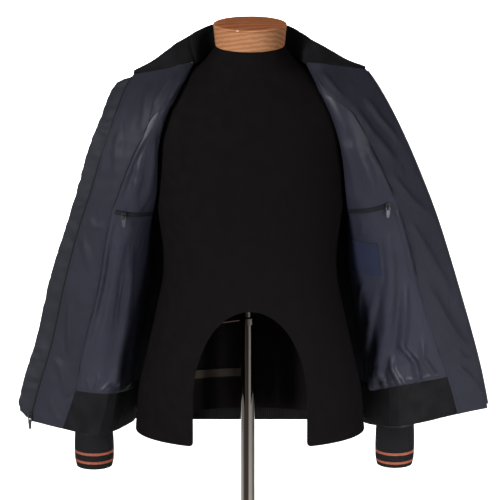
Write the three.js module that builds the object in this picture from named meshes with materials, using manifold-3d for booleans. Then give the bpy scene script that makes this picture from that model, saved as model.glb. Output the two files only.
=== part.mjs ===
// A bomber jacket, worn wide open on a limbless dress form that stands on a telescoping pole.
// Millimetres, Z up. X points to the wearer's left, Y to the back, and the floor is Z = 0.
// Garment points are written [out, back, up], where out is the distance from the form's middle.
import * as THREE from 'three';
import { mergeVertices } from 'three/addons/utils/BufferGeometryUtils.js';
import Module from 'manifold-3d';

const wasm = await Module();
wasm.setup();

// Cloth walls and the gaps at their seams
const shellWall = 1.6;
const liningWall = 1.0;
const facingWall = 1.4;
const flapWall = 2.4;
const hemWall = 3.0;
const collarWall = 4.4;
const sleeveWall = 1.6;
const cuffWall = 2.6;
const layerGap = 0.3;
const seamShare = 0.006; // share of the way between two lines that a panel stops short of its seam
const shoulderShare = 0.02; // the same at the shoulder seam, down the back
const armholeSetOff = 2.7;
const collarSetOff = 0.9;

// Ribbed knit
const ribHeight = 0.7;
const hemRibPitch = 9;
const collarRibPitch = 11;
const cuffRibs = 24;

// Bloused back above the hem band
const blouseDepth = 7;
const gatherDepth = 2.2;

// The form, its neck cap and its stand
const dressedOffset = 4; // the form sits this far off the pole's axis
const formWall = 9;
const formBottom = 520;
const formTop = 1210;
const hollowTop = 1040;
const socketTop = 1130;
const sectionPower = 2.05;
const formSides = 28;
const arch = { halfWidth: 99, springHeight: 600, rise: 167, cornerRadius: 8 };
const cap = { bottomRadius: 59, topRadius: 63, height: 39, seat: 0.3 };
const rodRadius = 9.5;
const rodBottom = 465;
const socketRadius = 10.2;
const tube = { outer: 12.5, inner: 9.9, top: 715, bottom: 8.3 };
const clamp = { outer: 15, inner: 9.9, height: 11, leverReach: 42, leverDrop: 6, leverRadius: 2.6 };
const base = { radius: 188, rim: 7, hubRadius: 23, hubTop: 42, socket: 12.9, plate: 8 };
const roundSides = 24;

// Rows run from the neck down to the hem, and the armhole closes at the underarm row.
const underarmRow = 5;
const ribTopRow = 8;
const hemRow = 9;

// The armhole's front edge, then the side seam
const frontSide = [
  [210, 18, 1118], [205, -12, 1085], [196, -26, 1045], [190, -28, 995], [187, -10, 945],
  [186, 40, 893], [180, 78, 790], [197, 100, 660], [208, 110, 566], [208, 110, 497],
];

// The armhole's back edge, then the same seam
const backSide = [
  [210, 18, 1118], [205, 50, 1085], [197, 76, 1045], [192, 90, 995], [188, 82, 945],
  ...frontSide.slice(underarmRow),
];

const withSide = (sideLine, rows) => rows.map((row, n) => ({ side: sideLine[n], ...row }));

const rightFront = withSide(frontSide, [
  { fold: [97, -5, 1181], mid: [118, -22, 1182], seam: [137, -24, 1176], zip: [198, -4, 1161] },
  { fold: [122, -56, 1143], mid: [138, -66, 1143], seam: [156, -62, 1139], zip: [213, -20, 1134] },
  { fold: [143, -68, 1101], mid: [154, -79, 1101], seam: [169, -77, 1098], zip: [231, -40, 1088] },
  { fold: [156, -64, 1048], mid: [173, -77, 1048], seam: [195, -72, 1043], zip: [249, -42, 1038] },
  { fold: [161, -46, 965], mid: [192, -65, 965], seam: [226, -56, 962], zip: [272, -28, 960] },
  { fold: [172, 4, 893], mid: [208, -40, 894], seam: [246, -36, 891], zip: [295, -6, 888] },
  { fold: [177, 46, 790], mid: [223, -15, 790], seam: [264, -13, 788], zip: [322, 16, 788] },
  { fold: [197, 72, 660], mid: [245, 0, 662], seam: [295, 13, 660], zip: [352, 41, 656] },
  { fold: [212, 82, 566], mid: [251, 3, 583], seam: [310, 26, 580], zip: [374, 54, 583] },
  { fold: [213, 86, 500], mid: [270, 6, 503], seam: [335, 40, 503], zip: [395, 71, 507] },
]);

const leftFront = withSide(frontSide, [
  { fold: [97, -5, 1181], mid: [116, -22, 1184], seam: [135, -22, 1181], zip: [193, -4, 1167] },
  { fold: [118, -56, 1145], mid: [135, -66, 1146], seam: [157, -62, 1143], zip: [217, -14, 1146] },
  { fold: [139, -68, 1101], mid: [154, -79, 1102], seam: [177, -74, 1104], zip: [240, -26, 1104] },
  { fold: [155, -64, 1047], mid: [177, -77, 1049], seam: [206, -69, 1051], zip: [264, -30, 1055] },
  { fold: [165, -46, 966], mid: [199, -64, 968], seam: [242, -54, 972], zip: [297, -14, 976] },
  { fold: [172, 2, 894], mid: [214, -36, 896], seam: [268, -28, 897], zip: [325, 12, 900] },
  { fold: [177, 46, 790], mid: [229, -4, 790], seam: [294, 6, 793], zip: [357, 45, 798] },
  { fold: [199, 72, 660], mid: [250, 32, 662], seam: [331, 46, 660], zip: [397, 82, 662] },
  { fold: [216, 80, 563], mid: [263, 41, 584], seam: [354, 73, 590], zip: [416, 106, 590] },
  { fold: [209, 86, 497], mid: [268, 54, 503], seam: [377, 112, 505], zip: [434, 140, 507] },
]);

const backHalf = withSide(backSide, [
  { yoke: [155, 6, 1149], neck: [97, -5, 1181], nape: [70, 52, 1181], centre: [0, 76, 1179] },
  { yoke: [158, 62, 1112], neck: [112, 72, 1134], nape: [62, 92, 1142], centre: [0, 100, 1144] },
  { yoke: [160, 93, 1064], neck: [114, 106, 1082], nape: [60, 113, 1092], centre: [0, 115, 1095] },
  { yoke: [161, 107, 1008], neck: [114, 119, 1020], nape: [60, 123, 1030], centre: [0, 124, 1034] },
  { yoke: [164, 104, 952], neck: [118, 121, 957], nape: [60, 126, 962], centre: [0, 127, 964] },
  { yoke: [170, 92, 893], neck: [122, 119, 893], nape: [60, 127, 893], centre: [0, 128, 893] },
  { yoke: [160, 103, 790], neck: [118, 119, 790], nape: [60, 126, 790], centre: [0, 127, 790] },
  { yoke: [170, 115, 658], neck: [122, 124, 656], nape: [60, 128, 655], centre: [0, 129, 654] },
  { yoke: [178, 121, 566], neck: [126, 127, 567], nape: [62, 130, 568], centre: [0, 131, 568] },
  { yoke: [178, 117, 494], neck: [126, 122, 491], nape: [62, 124, 490], centre: [0, 124, 490] },
]);

// Sleeve rings below the armhole: outer and inner points, how far back, and half the depth
const rightSleeve = [
  { outer: [232, 1104], inner: [191, 888], back: 31, half: 60 },
  { outer: [252, 1070], inner: [193, 876], back: 33, half: 61 },
  { outer: [268, 1018], inner: [195, 858], back: 37, half: 60 },
  { outer: [281, 950], inner: [197, 832], back: 43, half: 57 },
  { outer: [291, 870], inner: [200, 790], back: 52, half: 52 },
  { outer: [300, 780], inner: [206, 735], back: 60, half: 47 },
  { outer: [308, 680], inner: [216, 660], back: 66, half: 42 },
  { outer: [312, 590], inner: [230, 585], back: 67, half: 37 },
  { outer: [314, 530], inner: [239, 528], back: 65, half: 34 },
  { outer: [312, 493], inner: [246, 493], back: 62, half: 29 },
];

const leftSleeve = [
  { outer: [232, 1104], inner: [191, 888], back: 31, half: 60 },
  { outer: [252, 1070], inner: [193, 876], back: 34, half: 61 },
  { outer: [268, 1018], inner: [195, 858], back: 40, half: 60 },
  { outer: [281, 950], inner: [197, 832], back: 50, half: 57 },
  { outer: [289, 870], inner: [200, 790], back: 62, half: 52 },
  { outer: [294, 780], inner: [206, 735], back: 76, half: 47 },
  { outer: [298, 680], inner: [213, 660], back: 92, half: 41 },
  { outer: [299, 590], inner: [221, 585], back: 102, half: 36 },
  { outer: [298, 530], inner: [227, 528], back: 103, half: 33 },
  { outer: [296, 493], inner: [230, 493], back: 101, half: 29 },
];

const cuffs = {
  right: { top: 492.6, bottom: 426, middle: [281, 62], half: [34, 29] },
  left: { top: 492.6, bottom: 414, middle: [263.5, 101], half: [34, 29] },
};

// The collar's height at its stations, as the way from its seam to its free edge
const collarRise = [
  { at: 'front end', rise: [1, 3, 6] },
  { at: 'over the wing', rise: [8, 20, 20] },
  { at: 'over the facing', rise: [9, 36, 22] },
  { at: 'by the shoulder', rise: [10, 42, 30] },
  { at: 'side neck', rise: [9, 38, 38] },
  { at: 'nape', rise: [-3, 9, 53] },
  { at: 'centre back', rise: [0, 7, 57] },
];

// The width of the flap beyond the zip, by row
const flapWidths = [
  { row: 0.1, width: 15 },
  { row: 0.35, width: 26 },
  { row: 1, width: 28 },
  { row: 5, width: 29 },
  { row: 8, width: 33 },
  { row: 8.6, width: 33 },
  { row: 8.85, width: 28 },
  { row: 8.97, width: 13 },
];

// Soft ridges that the linings hang in, as lines across the panel
const liningFolds = {
  right: [
    { from: [2.5, 3.2], to: [2.35, 8], half: 0.28, height: 4.5 },
    { from: [1.9, 5.4], to: [1.75, 8], half: 0.24, height: 6 },
    { from: [1.45, 6.6], to: [1.4, 8], half: 0.18, height: 5 },
  ],
  left: [
    { from: [2.6, 4.8], to: [2.75, 8], half: 0.26, height: 5 },
    { from: [2.45, 5.6], to: [2.2, 7.9], half: 0.24, height: 7 },
    { from: [1.6, 6.1], to: [1.75, 8], half: 0.24, height: 6 },
    { from: [1.35, 6.6], to: [1.3, 7.9], half: 0.16, height: 4 },
  ],
};

const formSections = [
  { up: 520, half: [203, 112] },
  { up: 560, half: [200, 113] },
  { up: 598, half: [196, 113] },
  { up: 652, half: [184, 110] },
  { up: 703, half: [172.5, 106] },
  { up: 751, half: [162, 103] },
  { up: 802, half: [152, 100] },
  { up: 848, half: [151, 99] },
  { up: 893, half: [156, 103] },
  { up: 949, half: [164, 109] },
  { up: 1000, half: [170, 112] },
  { up: 1045, half: [173, 110] },
  { up: 1080, half: [173, 104] },
  { up: 1110, half: [170, 91] },
  { up: 1132, half: [157, 79] },
  { up: 1148, half: [135, 69] },
  { up: 1160, half: [114, 63] },
  { up: 1171, half: [95, 61] },
  { up: 1180, half: [82, 61] },
  { up: 1192, half: [71, 60] },
  { up: 1210, half: [59, 59] },
];

// Colours and finishes
const cloth = (color) => new THREE.MeshStandardMaterial({ color, roughness: 0.75, metalness: 0 });
const metal = (color) => new THREE.MeshStandardMaterial({ color, roughness: 0.25, metalness: 1 });
const finishes = {
  shell: cloth(0x171a24),
  lining: cloth(0x2b303d),
  facing: cloth(0x242938),
  knit: cloth(0x0c0c0e),
  zip: cloth(0x0a0a0c),
  zipMetal: metal(0x2c2d30),
  label: cloth(0x141c33),
  form: cloth(0x101011),
  wood: new THREE.MeshStandardMaterial({ color: 0xb5692c, roughness: 0.3, metalness: 0 }),
  chrome: metal(0x8f8984),
  iron: new THREE.MeshStandardMaterial({ color: 0x1b1b1c, roughness: 0.5, metalness: 0.4 }),
};

const step = 0.01; // rows or columns, for slopes
const vector = (p, sign = 1) => new THREE.Vector3(sign * p[0], p[1], p[2]);

// A point on the smooth curve through a list of points, at place t counted in points
function curveAt(points, t) {
  const k = Math.min(Math.max(Math.floor(t), 0), points.length - 2);
  const near = points[k];
  const far = points[k + 1];
  const before = points[k - 1] ?? near.clone().multiplyScalar(2).sub(far);
  const after = points[k + 2] ?? far.clone().multiplyScalar(2).sub(near);
  const lengths = [before.distanceTo(near), near.distanceTo(far), far.distanceTo(after)];
  const [d0, d1, d2] = lengths.map((length) => Math.sqrt(Math.max(length, 1e-4)));
  const slopeNear = near.clone().sub(before).divideScalar(d0)
    .sub(far.clone().sub(before).divideScalar(d0 + d1))
    .add(far.clone().sub(near).divideScalar(d1)).multiplyScalar(d1);
  const slopeFar = far.clone().sub(near).divideScalar(d1)
    .sub(after.clone().sub(near).divideScalar(d1 + d2))
    .add(after.clone().sub(far).divideScalar(d2)).multiplyScalar(d1);
  const f = t - k;
  return near.clone().multiplyScalar(2 * f ** 3 - 3 * f ** 2 + 1)
    .addScaledVector(slopeNear, f ** 3 - 2 * f ** 2 + f)
    .addScaledVector(far, 3 * f ** 2 - 2 * f ** 3)
    .addScaledVector(slopeFar, f ** 3 - f ** 2);
}

// A line of the pattern down the rows of a table. Armhole and side seam meet at the underarm row.
function lineDown(table, name, sign) {
  const points = table.map((row) => vector(row[name], sign));
  if (name !== 'side') {
    return (v) => curveAt(points, v);
  }
  const armhole = points.slice(0, underarmRow + 1);
  const sideSeam = points.slice(underarmRow);
  return (v) => (v < underarmRow ? curveAt(armhole, v) : curveAt(sideSeam, v - underarmRow));
}

// A cloth surface over columns u and rows v, with its outward direction
function surface(pointAt, outward) {
  const normalAt = (u, v) => {
    const across = pointAt(u + step, v).sub(pointAt(u - step, v));
    const down = pointAt(u, v + step).sub(pointAt(u, v - step));
    return across.cross(down).multiplyScalar(outward).normalize();
  };
  return { pointAt, normalAt };
}

// The back: columns wearer's right side seam 0 to left side seam 8
function backSurface() {
  const half = ['side', 'yoke', 'neck', 'nape'];
  const lines = [
    lineDown(rightFront, 'fold', -1),
    ...half.map((name) => lineDown(backHalf, name, -1)),
    lineDown(backHalf, 'centre', 1),
    ...half.reverse().map((name) => lineDown(backHalf, name, 1)),
    lineDown(leftFront, 'fold', 1),
  ];
  const backColumns = lines.length - 3;
  return surface((u, v) => {
    const point = curveAt(lines.map((line) => line(v)), u + 1);
    const fullness = Math.sin(Math.PI * THREE.MathUtils.clamp((v - 6.4) / 1.6, 0, 1)) ** 2;
    const middle = Math.sin((Math.PI * u) / backColumns);
    point.y += blouseDepth * fullness * middle;
    return point;
  }, 1);
}

// A front: columns side seam 0, fold 1, middle 2, facing seam 3, zip 4. It shares the back's shoulder line.
function frontSurface(table, sign) {
  const lines = [lineDown(backHalf, 'yoke', sign)];
  for (const name of ['side', 'fold', 'mid', 'seam', 'zip']) {
    lines.push(lineDown(table, name, sign));
  }
  const ownPoint = (u, v) => curveAt(lines.map((line) => line(v)), u + 1);
  const shoulder = (u) => backCloth.pointAt(sign < 0 ? 2 * u : 8 - 2 * u, 0);
  return surface((u, v) => {
    const point = ownPoint(u, v);
    if (u < 1 && v < 1) {
      const along = Math.max(u, 0);
      point.addScaledVector(shoulder(along).sub(ownPoint(along, 0)), (1 - v) ** 2);
    }
    return point;
  }, sign);
}

// A closed wall between an outer and an inner sheet of points, over the cells that are kept
function wall({ columns, rows, outer, inner, keep = () => true, wrap = false }) {
  const positions = [];
  const index = [];
  const across = wrap ? columns : columns + 1;
  const grid = [outer, inner].map((sheet) => {
    const first = positions.length / 3;
    for (let j = 0; j <= rows; j++) {
      for (let i = 0; i < across; i++) {
        positions.push(...sheet(i, j).toArray());
      }
    }
    return (i, j) => first + j * across + (i % across);
  });
  const [out, inn] = grid;
  const quad = (a, b, c, d) => index.push(a, b, c, a, c, d);
  const kept = (i, j) => {
    const column = wrap ? (i + columns) % columns : i;
    return column >= 0 && column < columns && j >= 0 && j < rows && keep(column, j);
  };
  for (let j = 0; j < rows; j++) {
    for (let i = 0; i < columns; i++) {
      if (!kept(i, j)) {
        continue;
      }
      quad(out(i, j), out(i, j + 1), out(i + 1, j + 1), out(i + 1, j));
      quad(inn(i, j), inn(i + 1, j), inn(i + 1, j + 1), inn(i, j + 1));
      if (!kept(i, j - 1)) {
        quad(out(i, j), out(i + 1, j), inn(i + 1, j), inn(i, j));
      }
      if (!kept(i, j + 1)) {
        quad(out(i + 1, j + 1), out(i, j + 1), inn(i, j + 1), inn(i + 1, j + 1));
      }
      if (!kept(i - 1, j)) {
        quad(out(i, j + 1), out(i, j), inn(i, j), inn(i, j + 1));
      }
      if (!kept(i + 1, j)) {
        quad(out(i + 1, j), out(i + 1, j + 1), inn(i + 1, j + 1), inn(i + 1, j));
      }
    }
  }
  return closedGeometry(positions, index);
}

// Geometry with unused points dropped and its faces turned outward
function closedGeometry(positions, index) {
  const renumbered = new Map();
  const kept = [];
  const faces = index.map((old) => {
    if (!renumbered.has(old)) {
      renumbered.set(old, renumbered.size);
      kept.push(positions[3 * old], positions[3 * old + 1], positions[3 * old + 2]);
    }
    return renumbered.get(old);
  });
  const corner = (n) => new THREE.Vector3().fromArray(kept, 3 * faces[n]);
  let volume = 0;
  for (let n = 0; n < faces.length; n += 3) {
    volume += corner(n).dot(corner(n + 1).cross(corner(n + 2)));
  }
  if (volume < 0) {
    faces.reverse();
  }
  const geometry = new THREE.BufferGeometry();
  geometry.setAttribute('position', new THREE.Float32BufferAttribute(kept, 3));
  geometry.setIndex(faces);
  return geometry;
}

// A panel: part of a surface between two distances from it
function panel(cloths, us, vs, from, to, keep) {
  const nodes = vs.map((v) => us.map((u) => [cloths.pointAt(u, v), cloths.normalAt(u, v)]));
  const sheet = (distance) => (i, j) => {
    const [point, normal] = nodes[j][i];
    const away = typeof distance === 'function' ? distance(us[i], vs[j]) : distance;
    return point.clone().addScaledVector(normal, away);
  };
  return wall({ columns: us.length - 1, rows: vs.length - 1, outer: sheet(to), inner: sheet(from), keep });
}

function named(name, geometry, finish) {
  geometry.computeVertexNormals();
  const mesh = new THREE.Mesh(geometry, finish);
  mesh.name = name;
  return mesh;
}

// Boolean work on closed geometries
function solid(geometry) {
  const bare = geometry.index ? geometry.toNonIndexed() : geometry.clone();
  bare.deleteAttribute('normal');
  bare.deleteAttribute('uv');
  const merged = mergeVertices(bare, 1e-4);
  return new wasm.Manifold(new wasm.Mesh({
    numProp: 3,
    vertProperties: new Float32Array(merged.getAttribute('position').array),
    triVerts: new Uint32Array(merged.index.array),
  }));
}

function geometryOf(body) {
  const mesh = body.getMesh();
  const geometry = new THREE.BufferGeometry();
  geometry.setAttribute('position', new THREE.BufferAttribute(mesh.vertProperties, 3));
  geometry.setIndex(new THREE.BufferAttribute(mesh.triVerts, 1));
  return geometry;
}

function joined(...geometries) {
  return geometryOf(geometries.map(solid).reduce((whole, part) => whole.add(part)));
}

// The pattern's columns and rows
const frontColumns = [
  seamShare, 1 / 3, 1 / 2, 2 / 3, 5 / 6, 1, 1.25, 1.5, 1.75, 2, 2.25, 2.5, 2.75,
  3 - seamShare, 3 + seamShare, 3.35, 3.7, 4,
];
const seamColumn = frontColumns.indexOf(3 - seamShare);
const liningFirstColumn = 3;
const patternRows = [
  0, 0.5, 1, 1.5, 2, 2.5, 3, 3.5, 4, 4.5, 5, 5.5, 6, 6.5, 7, 7.5,
  ribTopRow - seamShare, ribTopRow + seamShare, 8.5, hemRow,
];
const liningFirstRow = 3;
const ribTopIndex = 16;
const underarmIndex = patternRows.indexOf(underarmRow);
const backHalfColumns = [
  seamShare, 2 / 3, 1, 4 / 3, 5 / 3, 2, 2.25, 2.5, 2.75, 3, 10 / 3, 11 / 3,
];
const backColumns = [...backHalfColumns, 4, ...backHalfColumns.map((u) => 8 - u).reverse()];

const backCloth = backSurface();
const fronts = {
  right: { sign: -1, cloths: frontSurface(rightFront, -1) },
  left: { sign: 1, cloths: frontSurface(leftFront, 1) },
};

// How far the lining stands off its panel at (u, v), from its folds
function foldHeight(folds, u, v) {
  let height = 0;
  for (const { from, to, half, height: peak } of folds) {
    const t = (v - from[1]) / (to[1] - from[1]);
    if (t <= 0 || t > 1.2) {
      continue;
    }
    const middle = from[0] + (to[0] - from[0]) * t;
    const across = Math.max(0, 1 - ((u - middle) / half) ** 2);
    height += peak * across ** 2 * Math.min(1, 2.5 * t) * Math.min(1, (1.2 - t) * 5);
  }
  return height;
}

const shellInside = layerGap / 2;
const shellOutside = shellInside + shellWall;
const liningFace = (side) => (u, v) => -layerGap / 2 - liningWall - foldHeight(liningFolds[side], u, v);

function front(side) {
  const { cloths } = fronts[side];
  const keep = (i, j) => j < ribTopIndex || i > seamColumn;
  const geometry = panel(cloths, frontColumns, patternRows, shellInside, shellOutside, keep);
  return named(`front_${side}`, geometry, finishes.shell);
}

function lining(side) {
  const { cloths } = fronts[side];
  const us = frontColumns.slice(liningFirstColumn, seamColumn + 1);
  const vs = patternRows.slice(liningFirstRow, ribTopIndex + 1);
  const near = liningFace(side);
  const geometry = panel(cloths, us, vs, near, (u, v) => near(u, v) + liningWall);
  return named(`lining_${side}`, geometry, finishes.lining);
}

function facing(side) {
  const { cloths } = fronts[side];
  const yokeRows = liningFirstRow;
  const us = frontColumns.slice(liningFirstColumn + 1);
  const vs = patternRows.map((v, j) => (j === yokeRows ? v - 2 * seamShare : v));
  const seamCell = seamColumn - liningFirstColumn - 1;
  const keep = (i, j) => i > seamCell || j < yokeRows;
  const geometry = panel(cloths, us, vs, -layerGap / 2 - facingWall, -layerGap / 2, keep);
  return named(`facing_${side}`, geometry, finishes.facing);
}

function back() {
  const rows = [shoulderShare, ...patternRows.slice(1, ribTopIndex + 1)];
  const gather = (u, v) => {
    const wave = backColumns.indexOf(u) % 2 ? 1 : -1;
    return gatherDepth * wave * THREE.MathUtils.clamp(v - 7, 0, 1) ** 2 * Math.sin((Math.PI * u) / 8);
  };
  const geometry = panel(
    backCloth,
    backColumns,
    rows,
    (u, v) => shellInside + (v > 7.9 ? 0 : gather(u, v)),
    (u, v) => shellOutside + (v > 7.9 ? 0 : gather(u, v)),
  );
  return named('back', geometry, finishes.shell);
}

// The hem's way round from one facing to the other, over the panels' own columns
function hemStops() {
  const seam = frontColumns.slice(0, seamColumn + 1);
  const stops = [];
  for (const u of [...seam].reverse()) {
    stops.push([fronts.right.cloths, u]);
  }
  for (const u of backColumns) {
    stops.push([backCloth, u]);
  }
  for (const u of seam) {
    stops.push([fronts.left.cloths, u]);
  }
  return stops;
}

function hemBand() {
  const rows = [ribTopRow + seamShare, 8.5, hemRow];
  const stops = hemStops();
  const places = rows.map((v) => stops.map(([cloths, u]) => [cloths.pointAt(u, v), cloths.normalAt(u, v)]));
  const columns = [];
  for (let s = 0; s + 1 < stops.length; s++) {
    const length = places[0][s][0].distanceTo(places[0][s + 1][0]);
    const parts = Math.max(1, Math.round(length / (hemRibPitch / 2)));
    for (let n = 0; n < parts; n++) {
      columns.push([s, n / parts]);
    }
  }
  columns.push([stops.length - 2, 1]);
  const sheet = (distanceAt) => (i, j) => {
    const [s, share] = columns[i];
    const [near, nearNormal] = places[j][s];
    const [far, farNormal] = places[j][s + 1];
    const normal = nearNormal.clone().lerp(farNormal, share).normalize();
    return near.clone().lerp(far, share).addScaledVector(normal, distanceAt(i));
  };
  const geometry = wall({
    columns: columns.length - 1,
    rows: rows.length - 1,
    outer: sheet((i) => hemWall / 2 + (i % 2 ? ribHeight : 0)),
    inner: sheet(() => -hemWall / 2),
  });
  return named('hem_band', geometry, finishes.knit);
}

// The neckline from zip to zip, as the panel and column at place t counted in the collar's stations
const neckline = { frontColumns: [4, 3.5, 3, 2, 1], backFirst: 2, stations: 12 };

function necklineAt(t) {
  const { frontColumns: columns, backFirst, stations } = neckline;
  const inFront = columns.length - 1;
  const fromEnd = Math.min(t, stations - t);
  if (fromEnd > inFront) {
    return [backCloth, backFirst + t - inFront, shoulderShare];
  }
  const k = Math.min(Math.max(Math.floor(fromEnd), 0), inFront - 1);
  const u = THREE.MathUtils.lerp(columns[k], columns[k + 1], fromEnd - k);
  return [fronts[t < stations / 2 ? 'right' : 'left'].cloths, u, 0];
}

function collar() {
  const last = neckline.stations;
  const rises = Array.from({ length: last + 1 }, (_, n) => {
    const { rise } = collarRise[Math.min(n, last - n)];
    return vector(rise, n < last / 2 ? -1 : 1);
  });
  const seamAt = (t) => {
    const [cloths, u, v] = necklineAt(t);
    const point = cloths.pointAt(u, v);
    const up = point.clone().sub(cloths.pointAt(u, v + 2 * step)).normalize();
    return [point.addScaledVector(up, collarSetOff), cloths.normalAt(u, v)];
  };
  const rough = Array.from({ length: 10 * last + 1 }, (_, n) => seamAt(n / 10)[0]);
  const length = rough.slice(1).reduce((sum, point, n) => sum + point.distanceTo(rough[n]), 0);
  const columns = 2 * Math.round(length / collarRibPitch);
  const rows = 2;
  const seam = Array.from({ length: columns + 1 }, (_, i) => seamAt((last * i) / columns));
  const rise = (i) => curveAt(rises, (last * i) / columns);
  const pointAt = (i, j) => seam[i][0].clone().addScaledVector(rise(i), j / rows);
  const normalAt = (i, j) => {
    if (j === 0) {
      return seam[i][1];
    }
    const across = pointAt(Math.min(i + 1, columns), j).sub(pointAt(Math.max(i - 1, 0), j));
    return across.cross(rise(i).negate()).normalize();
  };
  const sheet = (distanceAt) => (i, j) => pointAt(i, j).addScaledVector(normalAt(i, j), distanceAt(i));
  const geometry = wall({
    columns,
    rows,
    outer: sheet((i) => collarWall / 2 + (i % 2 ? ribHeight : 0)),
    inner: sheet(() => -collarWall / 2),
  });
  return named('collar', geometry, finishes.knit);
}

const sleeveSides = 14;

// A sleeve hangs from its armhole through its rings to the cuff.
function sleeve(side, rings) {
  const { sign, cloths } = fronts[side];
  const backEdge = sign < 0 ? 0 : 8;
  const around = (j) => (2 * Math.PI * j) / sleeveSides;
  const armhole = (j) => {
    const share = (2 * j) / sleeveSides;
    const edge = share <= 1
      ? cloths.pointAt(0, underarmRow * share)
      : backCloth.pointAt(backEdge, underarmRow * (2 - share));
    edge.x += sign * armholeSetOff;
    return edge;
  };
  const ringPoint = ({ outer, inner, back: away, half }, j) => {
    const middle = [(outer[0] + inner[0]) / 2, (outer[1] + inner[1]) / 2];
    const reach = [(outer[0] - inner[0]) / 2, (outer[1] - inner[1]) / 2];
    const toOuter = Math.cos(around(j));
    return vector([
      middle[0] + reach[0] * toOuter,
      away - half * Math.sin(around(j)),
      middle[1] + reach[1] * toOuter,
    ], sign);
  };
  const strands = Array.from({ length: sleeveSides }, (_, j) => [
    armhole(j),
    ...rings.map((ring) => ringPoint(ring, j)),
  ]);
  const turned = (j) => strands[((j % sleeveSides) + sleeveSides) % sleeveSides];
  const normalAt = (j, r) => {
    const across = curveAt(turned(j + 1), r).sub(curveAt(turned(j - 1), r));
    const down = curveAt(turned(j), r + step).sub(curveAt(turned(j), r - step));
    return across.cross(down).multiplyScalar(-sign).normalize();
  };
  const sheet = (distance) => (j, r) => curveAt(turned(j), r).addScaledVector(normalAt(j, r), distance);
  const geometry = wall({
    columns: sleeveSides,
    rows: rings.length,
    outer: sheet(sleeveWall / 2),
    inner: sheet(-sleeveWall / 2),
    wrap: true,
  });
  return named(`sleeve_${side}`, geometry, finishes.shell);
}

function cuff(side) {
  const { sign } = fronts[side];
  const { top, bottom, middle, half } = cuffs[side];
  const columns = 2 * cuffRibs;
  const rows = 2;
  const sheet = (distanceAt) => (i, j) => {
    const angle = (2 * Math.PI * i) / columns;
    const away = distanceAt(i);
    return vector([
      middle[0] + (half[0] + away) * Math.cos(angle),
      middle[1] + (half[1] + away) * Math.sin(angle),
      top + ((bottom - top) * j) / rows,
    ], sign);
  };
  const geometry = wall({
    columns,
    rows,
    outer: sheet((i) => (i % 2 ? ribHeight : 0)),
    inner: sheet(() => -cuffWall),
    wrap: true,
  });
  return named(`cuff_${side}`, geometry, finishes.knit);
}

// Beyond the zip: a point past a front's edge, in the plane of the wing
function beyondZip(side, v, out, behind) {
  const { cloths } = fronts[side];
  const edge = cloths.pointAt(4, v);
  const outward = edge.clone().sub(cloths.pointAt(3.9, v)).normalize();
  return edge.addScaledVector(outward, out).addScaledVector(cloths.normalAt(4, v), behind);
}

const zipRows = [0.1, ...patternRows.slice(1, -1), 8.9];
const zipTeeth = { from: 0.5, to: 3.4, half: 1.3 };

function zip(side) {
  const across = [zipTeeth.from, zipTeeth.to];
  const geometry = wall({
    columns: 1,
    rows: zipRows.length - 1,
    outer: (i, j) => beyondZip(side, zipRows[j], across[i], zipTeeth.half),
    inner: (i, j) => beyondZip(side, zipRows[j], across[i], -zipTeeth.half),
  });
  return named(`zip_${side}`, geometry, finishes.zip);
}

function stormFlap() {
  const points = flapWidths.map(({ row, width }) => new THREE.Vector3(row, width, 0));
  const rows = [0.1, 0.35, ...patternRows.slice(2, -3), 8, 8.6, 8.85, 8.97];
  const widthAt = (v) => {
    const n = points.findIndex((point) => point.x >= v - 1e-6);
    const k = Math.max(1, n);
    const share = (v - points[k - 1].x) / (points[k].x - points[k - 1].x);
    return THREE.MathUtils.lerp(points[k - 1].y, points[k].y, share);
  };
  const rootOverlap = -5;
  const near = shellOutside + layerGap;
  const spread = [0, 0.5, 1];
  const out = (i, j) => THREE.MathUtils.lerp(rootOverlap, widthAt(rows[j]), spread[i]);
  const geometry = wall({
    columns: spread.length - 1,
    rows: rows.length - 1,
    outer: (i, j) => beyondZip('right', rows[j], out(i, j), near + flapWall),
    inner: (i, j) => beyondZip('right', rows[j], out(i, j), near),
  });
  return named('storm_flap', geometry, finishes.shell);
}

// The lining's face as it is faceted: points and directions between the corners of its cells
function liningSurface(side) {
  const { cloths } = fronts[side];
  const near = liningFace(side);
  const corner = (u, v) => cloths.pointAt(u, v).addScaledVector(cloths.normalAt(u, v), near(u, v));
  const cell = (lines, value) => {
    const k = Math.max(0, lines.findLastIndex((line) => line <= value));
    return [lines[k], lines[k + 1], (value - lines[k]) / (lines[k + 1] - lines[k])];
  };
  const between = (at) => (u, v) => {
    const [left, right, across] = cell(frontColumns, u);
    const [high, low, down] = cell(patternRows, v);
    const top = at(left, high).lerp(at(right, high), across);
    return top.lerp(at(left, low).lerp(at(right, low), across), down);
  };
  return { pointAt: between(corner), normalAt: (u, v) => between(cloths.normalAt)(u, v).normalize() };
}

// Pocket zips run from the fold towards the facing, rising a little.
const pocketZips = {
  right: {
    columns: [1.1, 1.25, 1.5, 1.75, 2, 2.25, 2.5, 2.75, 2.85],
    rows: [4.66, 4.44],
    slider: { column: 2.4, lift: 1.8 },
  },
  left: {
    columns: [1.05, 1.25, 1.5, 1.75, 2, 2.25, 2.5, 2.65],
    rows: [4.6, 4.36],
    slider: { column: 2.62, lift: 1.1 },
  },
};
const pocketZipHalf = 0.085;
const pocketZipWall = 1.5;

function pocketRow(side, u) {
  const { columns, rows } = pocketZips[side];
  return THREE.MathUtils.mapLinear(u, columns[0], columns.at(-1), rows[0], rows[1]);
}

function pocketZip(side) {
  const { pointAt, normalAt } = liningSurface(side);
  const slanted = (at) => (u, v) => at(u, pocketRow(side, u) + v);
  const strip = { pointAt: slanted(pointAt), normalAt: slanted(normalAt) };
  const rows = [-pocketZipHalf, 0, pocketZipHalf];
  const near = -2 * layerGap;
  const geometry = panel(strip, pocketZips[side].columns, rows, near - pocketZipWall, near);
  return named(`pocket_zip_${side}`, geometry, finishes.zip);
}

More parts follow.
